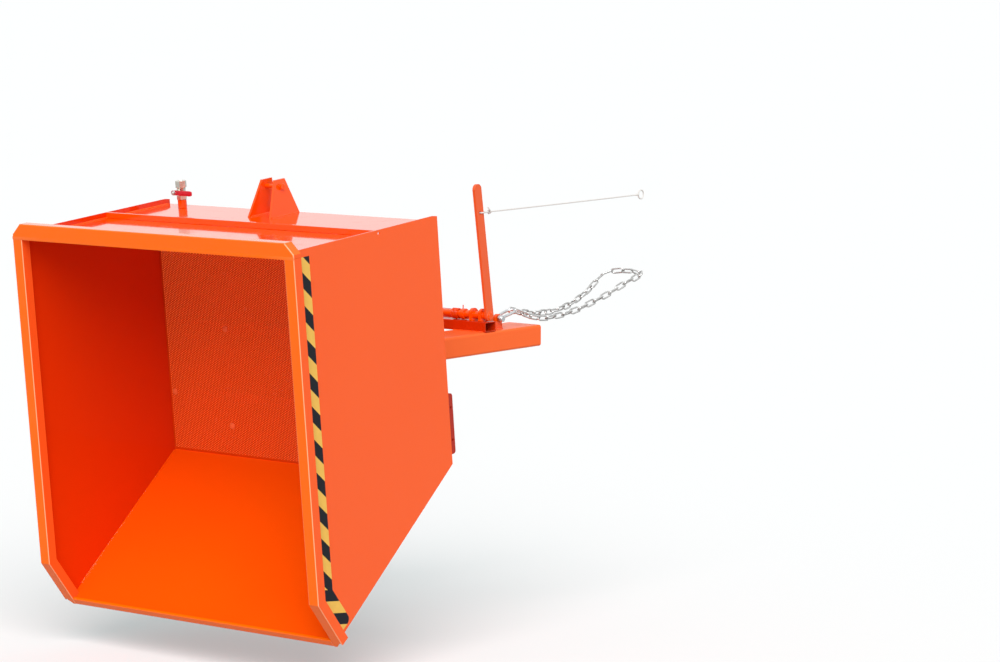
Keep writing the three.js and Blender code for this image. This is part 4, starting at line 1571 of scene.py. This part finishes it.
@dataclass
class Shell:
    """The hopper's sheet body: sides, rear wall, floor and chute, with their seams."""

    half: float = 0.5997
    sheet: float = 0.004
    floor_length: float = 0.823
    wall_top: float = 0.7077
    false_floor: float = 0.0725
    chute_rise: float = 0.6355
    chute_run: float = 0.449
    edge: float = 0.0007
    bead: float = 0.0032
    chute_seam: Flat = (0.004, 0.585)
    wall_seam: Flat = (0.003, 0.010)
    back_seam: Flat = (0.012, 0.008)
    under_seam: Flat = (0.06, 0.56)
    outer_seam: Flat = (0.02, 0.57)
    plates: tuple[tuple[str, Paint], ...] = (
        ("side_plate_left", SHEEN_SHADE_SIDE_PAINT), ("side_plate_right", SHEEN_SHADE_SIDE_PAINT), ("rear_wall", PAINT),
        ("floor_plate", PAINT), ("chute_plate", PAINT))

    def make(self) -> None:
        """Builds the plates and the seams between them."""
        for name, paint in self.plates:
            clad(name, "sheet", paint, Body.HOPPER, self.edge)
        beads("hopper_seams", self.seams(), Body.HOPPER, self.bead, TIP)

    def on_chute(self, height: float, depth: float) -> Flat:
        """A point on the chute's line in the side view.

        Args:
            height: Its height over the floor.
            depth: How far it is moved inward.

        Returns:
            Its place along the floor, and its height.
        """
        long = math.hypot(self.chute_run, self.chute_rise)
        cosine, sine = self.chute_run / long, self.chute_rise / long
        run = (height - depth * cosine) / sine
        return self.floor_length + cosine * run - sine * depth, height

    def seams(self) -> list[list[Point]]:
        """The corners that are welded, in the hopper's own frame.

        Returns:
            A line of points for each seam.
        """
        inner = self.sheet + BEAD_LIFT
        profiles = (
            (self.on_chute(self.false_floor + self.chute_seam[0], inner),
             self.on_chute(self.chute_seam[1], inner)),
            ((inner, self.false_floor + self.wall_seam[0]), (inner, self.wall_top - self.wall_seam[1])),
            ((-BEAD_LIFT, self.back_seam[0]), (-BEAD_LIFT, self.wall_top - self.back_seam[1])),
            ((self.under_seam[0], -BEAD_SUNK), (self.under_seam[1], -BEAD_SUNK)),
            (self.on_chute(self.outer_seam[0], -BEAD_SUNK),
             self.on_chute(self.outer_seam[1], -BEAD_SUNK)))
        y = self.half - BEAD_SIDE
        return [[(x, sign * y, z) for x, z in profile] for _, sign in SIDES for profile in profiles]


@dataclass
class MouthRim:
    """The folded rim round the mouth."""

    fold: float = 0.0042
    lip_fold: float = 0.003
    edge: float = 0.0009
    seam_x: Flat = (-0.006, 0.0046)
    seam_half: float = 0.6244
    seam_edge: float = 0.0002
    mouth_height: float = 0.744
    proud: float = 0.0003
    sunk: float = 0.0005

    def make(self) -> None:
        """Builds the rim's four sides with their rounded folds, and the ground seam over the wall."""
        for name, test, fold in (
                ("rim_rear", self.is_fold, self.fold), ("rim_side_left", self.is_fold, self.fold),
                ("rim_side_right", self.is_fold, self.fold), ("rim_lip", self.is_lip_fold, self.lip_fold)):
            piece(f"{name}_band", dressed(name, self.edge, test, fold, TIP), LIT_RIM_PAINT, Body.HOPPER, [name])
        seam = box_mesh((self.seam_x[0], -self.seam_half, self.mouth_height - self.sunk),
                        (self.seam_x[1], self.seam_half, self.mouth_height + self.proud), self.seam_edge)
        piece("rim_ground_seam", moved(seam, TIP), LIT_RIM_PAINT, Body.HOPPER)

    @staticmethod
    def is_fold(middle: Vector, one: Vector, other: Vector) -> bool:
        """Whether an edge lies between the rim's front and one of its sides."""
        front, side = (one, other) if one.z > other.z else (other, one)
        return (front.z > FRONT_LEAST and abs(front.y) < LEVEL_MOST and abs(side.z) < SIDE_MOST
                and middle.x != 0.0)

    @staticmethod
    def is_lip_fold(middle: Vector, one: Vector, other: Vector) -> bool:
        """Whether an edge of the lip runs along it, on its front."""
        return (max(abs(one.y), abs(other.y)) < LEVEL_MOST and max(one.z, other.z) > FRONT_LEAST
                and middle.z > 0.0)


@dataclass
class FalseFloor:
    """The perforated floor that lets liquid through, its plain margin, bolts and bearers."""

    low_x: float = 0.0043
    high_x: float = 0.8668
    half: float = 0.5997
    top: float = 0.0725
    sheet: float = 0.003
    pitch: float = 0.008
    hole: float = 0.0025
    rows: int = 107
    panels: tuple[tuple[int, int], ...] = ((-85, 43), (-42, 43), (1, 43), (44, 42))
    margin: float = 0.0085
    proud: float = 0.0002
    margin_edge: float = 0.0001
    bearer_edge: float = 0.0012
    bolts: tuple[Flat, ...] = ((0.150, 0.577), (0.658, 0.577), (0.415, 0.316), (0.760, 0.316))
    bolt_radius: float = 0.0085
    washer_reach: float = 0.003
    washer_ends: Flat = (-0.001, 0.0014)
    washer_bevel: float = 0.0004
    dome: tuple[Flat, ...] = ((0.0026, 0.97), (0.0042, 0.82), (0.0052, 0.5), (0.0056, 0.0))

    def make(self) -> None:
        """Builds the sheet in four panels, its margin, its bolts and the bearers."""
        place = TIP @ Matrix.Translation((0.0, 0.0, self.top))
        cell = held(self.cell_mesh())
        start = self.low_x + (self.high_x - self.low_x - self.pitch * (self.rows + 0.5)) / 2
        for number, (first, columns) in enumerate(self.panels):
            mesh = perforation().run(lines([[(0.0, 0.0, 0.0), (0.0, 0.0, 0.001)]]), SHADED_SIEVE_PAINT, {
                "Cell": cell, "Columns": columns, "First column": first, "Rows": self.rows,
                "Pitch": self.pitch, "Start": start})
            piece(f"perforated_sheet_{number + 1}", moved(mesh, place), SHADED_SIEVE_PAINT, Body.HOPPER,
                  ["false_floor"])
        bpy.data.objects.remove(cell)
        piece("perforated_margin", moved(self.margin_mesh(), place), SHADED_SIEVE_PAINT, Body.HOPPER)
        spots = [(x, sign * y, 0.0) for x, y in self.bolts for _, sign in SIDES]
        bolts = scattered(spots, self.bolt_mesh(), HIGHLIT_BOLT_PAINT)
        piece("floor_bolts", moved(bolts, place), HIGHLIT_BOLT_PAINT, Body.HOPPER)
        for number in (1, 2, 3):
            clad(f"floor_bearer_{number}", "tube", DARK_PAINT, Body.HOPPER, self.bearer_edge)

    def cell_mesh(self) -> bpy.types.Mesh:
        """One six-sided cell of the sheet, with its hole.

        Returns:
            The cell.
        """
        shape = bmesh.new()
        outer = self.pitch / math.sqrt(3)
        corners = [math.radians(30 + 60 * k) for k in range(6)]
        bridge(shape, [
            [shape.verts.new((radius * math.cos(a), radius * math.sin(a), height)) for a in corners]
            for radius, height in ((outer, 0.0), (self.hole, 0.0), (self.hole, -self.sheet),
                                   (outer, -self.sheet))])
        return mesh_of(shape)

    def margin_mesh(self) -> bpy.types.Mesh:
        """The plain margin round the holes.

        Returns:
            Its four strips.
        """
        low = (self.low_x, -self.half)
        high = (self.high_x, self.half)
        depth = self.sheet + self.proud
        strips = [
            (low, (low[0] + self.margin, high[1])),
            ((high[0] - self.margin, low[1]), high),
            ((low[0] + self.margin, low[1]), (high[0] - self.margin, low[1] + self.margin)),
            ((low[0] + self.margin, high[1] - self.margin), (high[0] - self.margin, high[1]))]
        return joined([
            box_mesh((*a, -depth), (*b, self.proud), self.margin_edge) for a, b in strips])

    def bolt_mesh(self) -> bpy.types.Mesh:
        """A low domed bolt head on its washer.

        Returns:
            The bolt head.
        """
        low, high = self.washer_ends
        washer = self.bolt_radius + self.washer_reach
        return turned([
            Ring(low, 0.0), Ring(low, washer), Ring(high - self.washer_bevel, washer),
            Ring(high, washer - self.washer_bevel), Ring(high, self.bolt_radius),
            *(Ring(z, self.bolt_radius * share) for z, share in self.dome)], 24)


@dataclass
class RearGear:
    """What the rear wall and the floor carry: stiffener, latch bracket and pin, lugs and lashing plates."""

    latch_y: float = -0.050
    foot_half: float = 0.0525
    foot_length: float = 0.148
    bracket_sheet: float = 0.008
    pin_x: float = -0.098
    pin_z: float = 0.070
    pin: float = 0.007
    pin_half: float = 0.0485
    stiffener_low: float = 0.312
    stitches: tuple[float, ...] = (-0.57, -0.38, -0.19, 0.06, 0.25, 0.44)
    stitch: float = 0.07
    lug_centre: float = 0.315
    lug_half: float = 0.006
    lug_x: Flat = (0.302, 0.412)
    lashing_x: Flat = (0.584, 0.790)
    lashing_y: float = 0.596
    head: float = 0.007
    head_radius: float = 0.0112
    edge: float = 0.001
    lashing_edge: float = 0.0008
    bead: float = 0.0028

    def make(self) -> None:
        """Builds the pieces and their welds."""
        clad("wall_stiffener", "bar", PAINT, Body.HOPPER, self.edge)
        for side, _ in SIDES:
            clad(f"latch_bracket_{side}", "plate", PAINT, Body.HOPPER, self.edge)
            clad(f"hinge_lug_{side}", "plate", PAINT, Body.HOPPER, self.edge)
            clad(f"lashing_plate_{side}", "plate", DARK_PAINT, Body.HOPPER, self.lashing_edge)
        piece("latch_bolt", moved(self.pin_mesh(), TIP), PAINT, Body.HOPPER, ["latch_pin"])
        beads("rear_welds", self.seams(), Body.HOPPER, self.bead, TIP)

    def pin_mesh(self) -> bpy.types.Mesh:
        """The cross pin with its two hexagon ends.

        Returns:
            The pin, in the hopper's own frame.
        """
        half, head = self.pin_half, self.head
        inner = half - head / 2
        ends = [hexagon_bar(low, low + head, self.head_radius, self.edge) for low in (half - head, -half)]
        return moved(joined([rod(-inner, inner, self.pin, 32), *ends]), axis_frame(
            (self.pin_x, self.latch_y, self.pin_z), ACROSS))

    def seams(self) -> list[list[Point]]:
        """The fillets at the feet of the welded pieces, in the hopper's own frame.

        Returns:
            A line of points for each seam.
        """
        paths: list[list[Point]] = []
        for _, sign in SIDES:
            for offset in (BEAD_LIFT, -self.bracket_sheet - BEAD_LIFT):
                y = self.latch_y + sign * (self.foot_half + offset)
                paths.append([(-BEAD_LIFT, y, z) for z in (BEAD_END, self.foot_length - BEAD_END)])
            reach = self.lug_half + BEAD_SIDE
            feet = [(self.lug_x, sign * self.lug_centre + offset) for offset in (-reach, reach)]
            feet.append((self.lashing_x, sign * (self.lashing_y - BEAD_SIDE)))
            paths += [[(low + BEAD_END, y, -BEAD_LIFT), (high - BEAD_END, y, -BEAD_LIFT)]
                      for (low, high), y in feet]
        z = self.stiffener_low - BEAD_SIDE
        paths += [[(-BEAD_LIFT, start, z), (-BEAD_LIFT, start + self.stitch, z)] for start in self.stitches]
        return paths


@dataclass
class WarningTape:
    """Striped tape behind the rim on both sides, cut to follow the rim's bend."""

    plate: float = 0.604
    lift: float = 0.0003
    thickness: float = 0.0004
    mouth_height: float = 0.744
    bend_x: float = 1.124
    lip_x: float = 1.291
    lip_z: float = 0.6355
    near: float = 0.046
    width: float = 0.050
    start: float = 0.006
    end_gap: float = 0.030
    end_radius: float = 0.020
    end_steps: int = 10

    def make(self) -> None:
        """Builds the tape of both sides."""
        for side, sign in SIDES:
            name = f"warning_tape_{side}"
            piece(f"{name}_film", moved(self.tape_mesh(sign), TIP), FILM, Body.HOPPER, [name])

    def line(self, depth: float) -> tuple[Vector, Vector, Vector]:
        """The rim's front line in the side view, moved inward.

        Args:
            depth: How far it is moved.

        Returns:
            Its bend, its end at the lip and the way that its slope runs.
        """
        slope = Vector((self.lip_x - self.bend_x, self.lip_z - self.mouth_height)).normalized()
        bend = math.tan(math.atan2(-slope.y, slope.x) / 2)
        corner = Vector((self.bend_x - depth * bend, self.mouth_height - depth))
        end = Vector((self.lip_x + slope.y * depth, self.lip_z - slope.x * depth))
        return corner, end, slope

    def tape_mesh(self, sign: int) -> bpy.types.Mesh:
        """One tape: a straight run and a slanted run with a rounded end.

        Args:
            sign: 1 for the left side and -1 for the right.

        Returns:
            The tape, in the hopper's own frame.
        """
        corner_near, end_near, slope = self.line(self.near)
        corner_far, _, _ = self.line(self.near + self.width)
        inward = Vector((slope.y, -slope.x))
        stop = (end_near - corner_near).length - self.end_gap
        back = (corner_far - corner_near).dot(slope)
        cut = (back - self.width) / (slope.x - slope.y)
        near_row = [Vector((self.start, corner_near.y)), corner_near + Vector((cut, 0.0))]
        far_row = [Vector((self.start, corner_far.y)), corner_far]
        shape = bmesh.new()
        uv = shape.loops.layers.uv.new("UVMap")
        low = sign * (self.plate + self.lift)
        high = low + sign * self.thickness

        def add(outline: Sequence[Vector], marks: Sequence[Flat]) -> None:
            """Adds one flat part of the tape with its thickness.

            Args:
                outline: Its corners in the side view.
                marks: The place of each on the UV map.
            """
            top = [shape.verts.new((p.x, high, p.y)) for p in outline]
            bottom = [shape.verts.new((p.x, low, p.y)) for p in outline]
            faces = [shape.faces.new(top), shape.faces.new(bottom[::-1])]
            count = len(outline)
            faces += [shape.faces.new((top[i], bottom[i], bottom[(i + 1) % count], top[(i + 1) % count]))
                      for i in range(count)]
            mark = {v: marks[i] for row in (top, bottom) for i, v in enumerate(row)}
            for face in faces:
                for loop in face.loops:
                    loop[uv].uv = mark[loop.vert]

        straight = [*near_row, *reversed(far_row)]
        widths = (0.0, 0.0, self.width, self.width)
        add(straight, [(p.x - self.start, across) for p, across in zip(straight, widths)])
        turn, radius = math.pi / 2, self.end_radius
        arc = [(stop - radius + radius * math.sin(a), self.width - radius + radius * math.cos(a))
               for a in (turn * i / self.end_steps for i in range(self.end_steps, -1, -1))]
        spots = [(cut * slope.x, cut * slope.y), (0.0, 0.0), (stop, 0.0), *arc, (back, self.width)]
        phase = FILM.first - (back - self.width)
        add([corner_near + slope * a + inward * b for a, b in spots],
            [(a + phase, b) for a, b in spots])
        bmesh.ops.recalc_face_normals(shape, faces=shape.faces)
        return mesh_of(shape)


@dataclass
class DrainValve:
    """The drain's socket, ball valve and its red handle."""

    y: float = -0.483
    height: float = 0.061
    hex_start: float = 0.0296
    hex_end: float = 0.0456
    barrel_end: float = 0.0716
    outlet_end: float = 0.0966
    hex_radius: float = 0.018
    hex_cut: float = 0.0013
    barrel_radius: float = 0.015
    barrel_cut: float = 0.0015
    outlet_radius: float = 0.020
    bore: float = 0.0095
    bore_bevel: float = 0.0009
    thread_from: float = 0.0012
    thread_pitch: float = 0.0018
    thread_depth: float = 0.0007
    threads: int = 7
    seat: float = 0.016
    seat_step: float = 0.002
    ball_x: float = -0.0586
    bonnet: float = 0.009
    bonnet_low: float = 0.010
    bonnet_groove: tuple[float, float, float] = (0.019, 0.0195, 0.0205)
    groove_depth: float = 0.0012
    bonnet_top: float = 0.029
    bonnet_cut: float = 0.001
    stem: float = 0.004
    stem_low: float = 0.0128
    stem_plain: float = 0.036
    stem_root: float = 0.0365
    stem_crest: float = 0.037
    stem_pitch: float = 0.0011
    stem_depth: float = 0.0004
    stem_threads: int = 8
    stem_top: float = 0.046
    handle_low: float = 0.037
    handle_thickness: float = 0.003
    handle_tail: float = 0.012
    handle_length: float = 0.096
    handle_width: float = 0.017
    handle_corner: float = 0.55
    play: float = 0.0003
    washer: float = 0.0084
    washer_height: float = 0.0009
    washer_cut: float = 0.0002
    nut: float = 0.008
    nut_cut: float = 0.0008
    stem_shows: float = 0.0014
    boss_edge: float = 0.0012
    ball_edge: float = 0.0004

    def make(self) -> None:
        """Builds the fixed body and what turns in it."""
        piece("drain_boss", dressed("drain_socket", self.boss_edge), PAINT, Body.HOPPER, ["drain_socket"])
        piece("valve_casting", moved(self.body_mesh(), TIP), NICKEL, Body.HOPPER, ["valve_body"])
        clad("valve_ball", "bright", NICKEL, Body.VALVE, self.ball_edge)
        for name, mesh, finish, node in (
                ("valve_spindle", self.stem_mesh(), NICKEL, "valve_stem"),
                ("valve_lever", self.handle_mesh(), GRIP, "valve_handle"),
                ("valve_nut", self.nut_mesh(), ZINC, "handle_nut")):
            piece(name, moved(mesh, TIP), finish, Body.VALVE, [node])

    def upright(self, rings: Sequence[Ring], loop: bool = False) -> bpy.types.Mesh:
        """A turned piece on the valve's stem axis."""
        return moved(turned(rings, loop=loop), axis_frame((self.ball_x, self.y, self.height), UP))

    def body_mesh(self) -> bpy.types.Mesh:
        """The casting along the drain's axis: two hexagons, a barrel and the bonnet.

        Returns:
            The casting.
        """
        neck, cut, mouth = self.barrel_radius - self.barrel_cut, self.barrel_cut, self.outlet_end
        rings = [
            Ring(self.hex_start, 0.0),
            *chamfered(self.hex_radius, self.hex_start, self.hex_end, self.hex_cut, True),
            Ring(self.hex_end, neck), Ring(self.hex_end + cut, self.barrel_radius),
            Ring(self.barrel_end - cut, self.barrel_radius), Ring(self.barrel_end, neck),
            *chamfered(self.outlet_radius, self.barrel_end, mouth, cut, True),
            Ring(mouth, self.bore + self.bore_bevel)]
        for i in range(self.threads):
            depth = mouth - self.thread_from - self.thread_pitch * i
            rings += [Ring(depth, self.bore),
                      Ring(depth - self.thread_pitch / 2, self.bore - self.thread_depth)]
        rings += [Ring(mouth - self.seat, self.bore - self.seat_step), Ring(mouth - self.seat, 0.0)]
        main = moved(turned(rings), axis_frame((0.0, self.y, self.height), (-1.0, 0.0, 0.0)))
        shoulder, groove, collar = self.bonnet_groove
        bonnet = self.upright([
            Ring(self.bonnet_low, 0.0), Ring(self.bonnet_low, self.bonnet), Ring(shoulder, self.bonnet),
            Ring(groove, self.bonnet - self.groove_depth), Ring(collar, self.bonnet - self.groove_depth),
            *chamfered(self.bonnet, collar, self.bonnet_top, self.bonnet_cut, True),
            Ring(self.bonnet_top, 0.0)])
        return joined([main, bonnet])

    def stem_mesh(self) -> bpy.types.Mesh:
        """The threaded stem.

        Returns:
            The stem.
        """
        rings = [Ring(self.stem_low, 0.0), Ring(self.stem_low, self.stem), Ring(self.stem_plain, self.stem)]
        for i in range(self.stem_threads):
            rise = self.stem_pitch * i
            rings += [Ring(self.stem_root + rise, self.stem - self.stem_depth),
                      Ring(self.stem_crest + rise, self.stem)]
        tip = self.stem - 2 * self.stem_depth
        return self.upright([*rings, Ring(self.stem_top, tip), Ring(self.stem_top, 0.0)])

    def nut_mesh(self) -> bpy.types.Mesh:
        """The nut and washer over the handle.

        Returns:
            The nut and the washer.
        """
        low = self.handle_low + self.handle_thickness + self.play
        middle, high = low + self.washer_height, self.stem_top - self.stem_shows
        bore = self.stem + self.play
        washer = self.upright([*chamfered(self.washer, low, middle, self.washer_cut),
                               Ring(middle, bore), Ring(low, bore)], True)
        nut = self.upright([*chamfered(self.nut, middle, high, self.nut_cut, True),
                            Ring(high, bore), Ring(middle, bore)], True)
        return joined([washer, nut])

    def handle_mesh(self) -> bpy.types.Mesh:
        """The flat handle with its dipped grip, a step away from the stem.

        Returns:
            The handle.
        """
        origin = Vector((self.ball_x, self.y, self.height + self.handle_low))
        shape = bmesh.new()
        start, end = -self.handle_tail, self.handle_length - self.handle_tail
        # Place along the handle, and shares of its width and thickness there
        stations = (
            (start, 0.45, 0.7), (start + 0.002, 0.8, 0.95), (start + 0.006, 1.0, 1.0),
            (0.012, 1.0, 1.0), (0.018, 0.96, 1.0), (0.0205, 1.0, 1.9), (0.024, 1.06, 2.1),
            (end - 0.012, 1.06, 2.1), (end - 0.005, 0.98, 1.9), (end - 0.0015, 0.8, 1.4),
            (end, 0.55, 0.8))
        rows = []
        middle = self.handle_thickness / 2
        for y, wide, tall in stations:
            w, t = self.handle_width / 2 * wide, middle * tall
            corner = min(t, w) * self.handle_corner
            spots = []
            for cx, cz, turn in ((w - corner, t - corner, 0), (corner - w, t - corner, 90),
                                 (corner - w, corner - t, 180), (w - corner, corner - t, 270)):
                for k in range(4):
                    a = math.radians(turn + 30 * k)
                    spots.append((cx + corner * math.cos(a), cz + corner * math.sin(a)))
            rows.append([shape.verts.new(origin + Vector((x, y, middle + z))) for x, z in spots])
        bridge(shape, rows)
        cap(shape, rows)
        return sealed(shape, SOFT_ANGLE)


# The fork frame


@dataclass
class ForkFrame:
    """Fork pockets, cross members, stops and hinges."""

    pocket_inner: float = 0.240
    pocket_outer: float = 0.390
    on_pocket: float = 0.0053
    corner: float = 0.010
    tube_x: Flat = (0.260022, 0.320022)
    beam_x: Flat = (0.600022, 0.660022)
    plate_x: Flat = (0.150022, 0.158022)
    plate_y: Flat = (0.243, 0.253)
    hinge_x: float = 0.783622
    ear_reach: Flat = (0.057, 0.004)
    ears: Flat = (0.296, 0.334)
    lug_x: float = 0.200022
    lug_reach: float = 0.021
    lug_y: Flat = (0.344, 0.356)
    pin_edge: float = 0.0012
    bead: float = 0.0028
    parts: tuple[tuple[str, float, Paint], ...] = (
        ("fork_pocket_left", 0.0008, POCKET_PAINT), ("fork_pocket_right", 0.0008, POCKET_PAINT),
        ("cross_tube", 0.0016, SHADED_TUBE_PAINT), ("rest_beam", 0.0016, PAINT),
        ("rear_cross_plate", 0.0010, SHADED_TUBE_PAINT), ("dump_stop_left", 0.0012, PAINT),
        ("dump_stop_right", 0.0012, PAINT), ("hinge_bracket_left", 0.0010, PAINT),
        ("hinge_bracket_right", 0.0010, PAINT), ("chain_lug", 0.0010, PAINT))

    def make(self) -> None:
        """Builds the frame's plates and tubes, its pins and its welds."""
        for name, edge, paint in self.parts:
            clad(name, "steel", paint, Body.FRAME, edge)
        for side, _ in SIDES:
            clad(f"hinge_pin_{side}", "bright", ZINC, Body.FRAME, self.pin_edge)
        beads("frame_welds", self.seams(), Body.FRAME, self.bead)

    def seams(self) -> list[list[Point]]:
        """The fillets of the frame.

        Returns:
            A line of points for each seam.
        """
        paths: list[list[Point]] = []
        z = self.on_pocket + BEAD_SUNK
        low, high = self.pocket_inner + self.corner, self.pocket_outer - self.corner
        for _, sign in SIDES:
            for x in self.beside(*self.tube_x) + self.beside(*self.beam_x):
                paths.append([(x, sign * low, z), (x, sign * high, z)])
            for x in self.beside(*self.plate_x):
                paths.append([(x, sign * y, z) for y in self.plate_y])
            for y in self.beside(*self.ears):
                paths.append([(self.hinge_x - self.ear_reach[0], sign * y, z),
                              (self.hinge_x + self.ear_reach[1], sign * y, z)])
        for y in self.beside(*self.lug_y):
            paths.append([(self.lug_x - self.lug_reach, y, z), (self.lug_x + self.lug_reach, y, z)])
        return paths

    @staticmethod
    def beside(low: float, high: float) -> tuple[float, float]:
        """Where the beads on both sides of a piece have their centres."""
        return low - BEAD_SIDE, high + BEAD_SIDE


@dataclass
class ReleaseGear:
    """The release shaft, its lever, collar, hook, bearings and return spring."""

    shaft_x: float = 0.286022
    shaft_z: float = 0.060
    shaft: float = 0.013
    lever_bead: float = 0.3864
    hook_beads: Flat = (-0.0436, -0.0564)
    ring_steps: int = 36
    tube_top: float = 0.0406
    bearings: tuple[float, ...] = (0.352, 0.312, -0.020, -0.080)
    bearing_half: float = 0.0055
    bearing_reach: float = 0.019
    bearing_edge: float = 0.0009
    bead: float = 0.0022
    wire: float = 0.002
    coil: float = 0.017
    turns: int = 5
    coil_from: float = 0.222
    coil_pitch: float = 0.006
    foot_heights: tuple[float, ...] = (0.0407, 0.0446, 0.052)
    arm_heights: tuple[float, ...] = (0.068, 0.078, 0.089)
    curl: int = 24
    parts: tuple[tuple[str, float, Paint], ...] = (
        ("release_shaft", 0.0012, PAINT), ("release_lever", 0.0014, LEVER_PAINT),
        ("spring_collar", 0.0010, PAINT), ("latch_hook", 0.0010, PAINT))

    def make(self) -> None:
        """Builds the gear and its welds."""
        for name in ("outer", "middle", "hook_left", "hook_right"):
            clad(f"shaft_bearing_{name}", "plate", PAINT, Body.FRAME, self.bearing_edge)
        for name, edge, paint in self.parts:
            clad(name, "steel", paint, Body.LEVER, edge)
        piece("spring_wire", self.spring_mesh(), DEEP_PAINT, Body.FRAME, ["return_spring"])
        rings = [self.ring(y) for y in (self.lever_bead, *self.hook_beads)]
        beads("shaft_welds", rings, Body.LEVER, self.bead)
        beads("bearing_welds", self.feet(), Body.FRAME, self.bead)

    def ring(self, y: float) -> list[Point]:
        """A bead round the shaft at one place."""
        radius = self.shaft + BEAD_SIDE
        return [(self.shaft_x + radius * math.cos(a), y, self.shaft_z + radius * math.sin(a))
                for a in (2 * math.pi * i / self.ring_steps for i in range(self.ring_steps + 1))]

    def feet(self) -> list[list[Point]]:
        """The fillets of the bearings on the cross tube.

        Returns:
            A line of points for each seam.
        """
        z = self.tube_top + BEAD_SUNK
        ends = (self.shaft_x - self.bearing_reach, self.shaft_x + self.bearing_reach)
        return [[(x, y + sign * self.bearing_half, z) for x in ends]
                for y in self.bearings for _, sign in SIDES]

    def spring_mesh(self) -> bpy.types.Mesh:
        """The coiled return spring with its foot and its arm.

        Returns:
            The spring.
        """
        foot_x = self.shaft_x - self.coil
        coil = [Vector((
            self.shaft_x - self.coil * math.cos(2 * math.pi * i / self.curl),
            self.coil_from + self.coil_pitch * i / self.curl,
            self.shaft_z + self.coil * math.sin(2 * math.pi * i / self.curl)))
            for i in range(self.turns * self.curl + 1)]
        foot = [Vector((foot_x, self.coil_from, z)) for z in self.foot_heights]
        arm = [Vector((foot_x, coil[-1].y, z)) for z in self.arm_heights]
        return swept([*foot, *coil, *arm], self.wire)


def main() -> None:
    """Builds the scene round the CAD frame, sub-assembly by sub-assembly."""
    logging.basicConfig(level=logging.INFO, format="%(name)s: %(message)s")
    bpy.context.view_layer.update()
    Camera().make()
    for part in (ReleaseRope(), SafetyChain(), Studio(), Shell(), MouthRim(), FalseFloor(),
                 RearGear(), WarningTape(), DrainValve(), ForkFrame(), ReleaseGear()):
        part.make()
        log.info("%s is done", type(part).__name__)
    bpy.context.view_layer.update()
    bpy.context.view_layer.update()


if __name__ == "__main__":
    main()
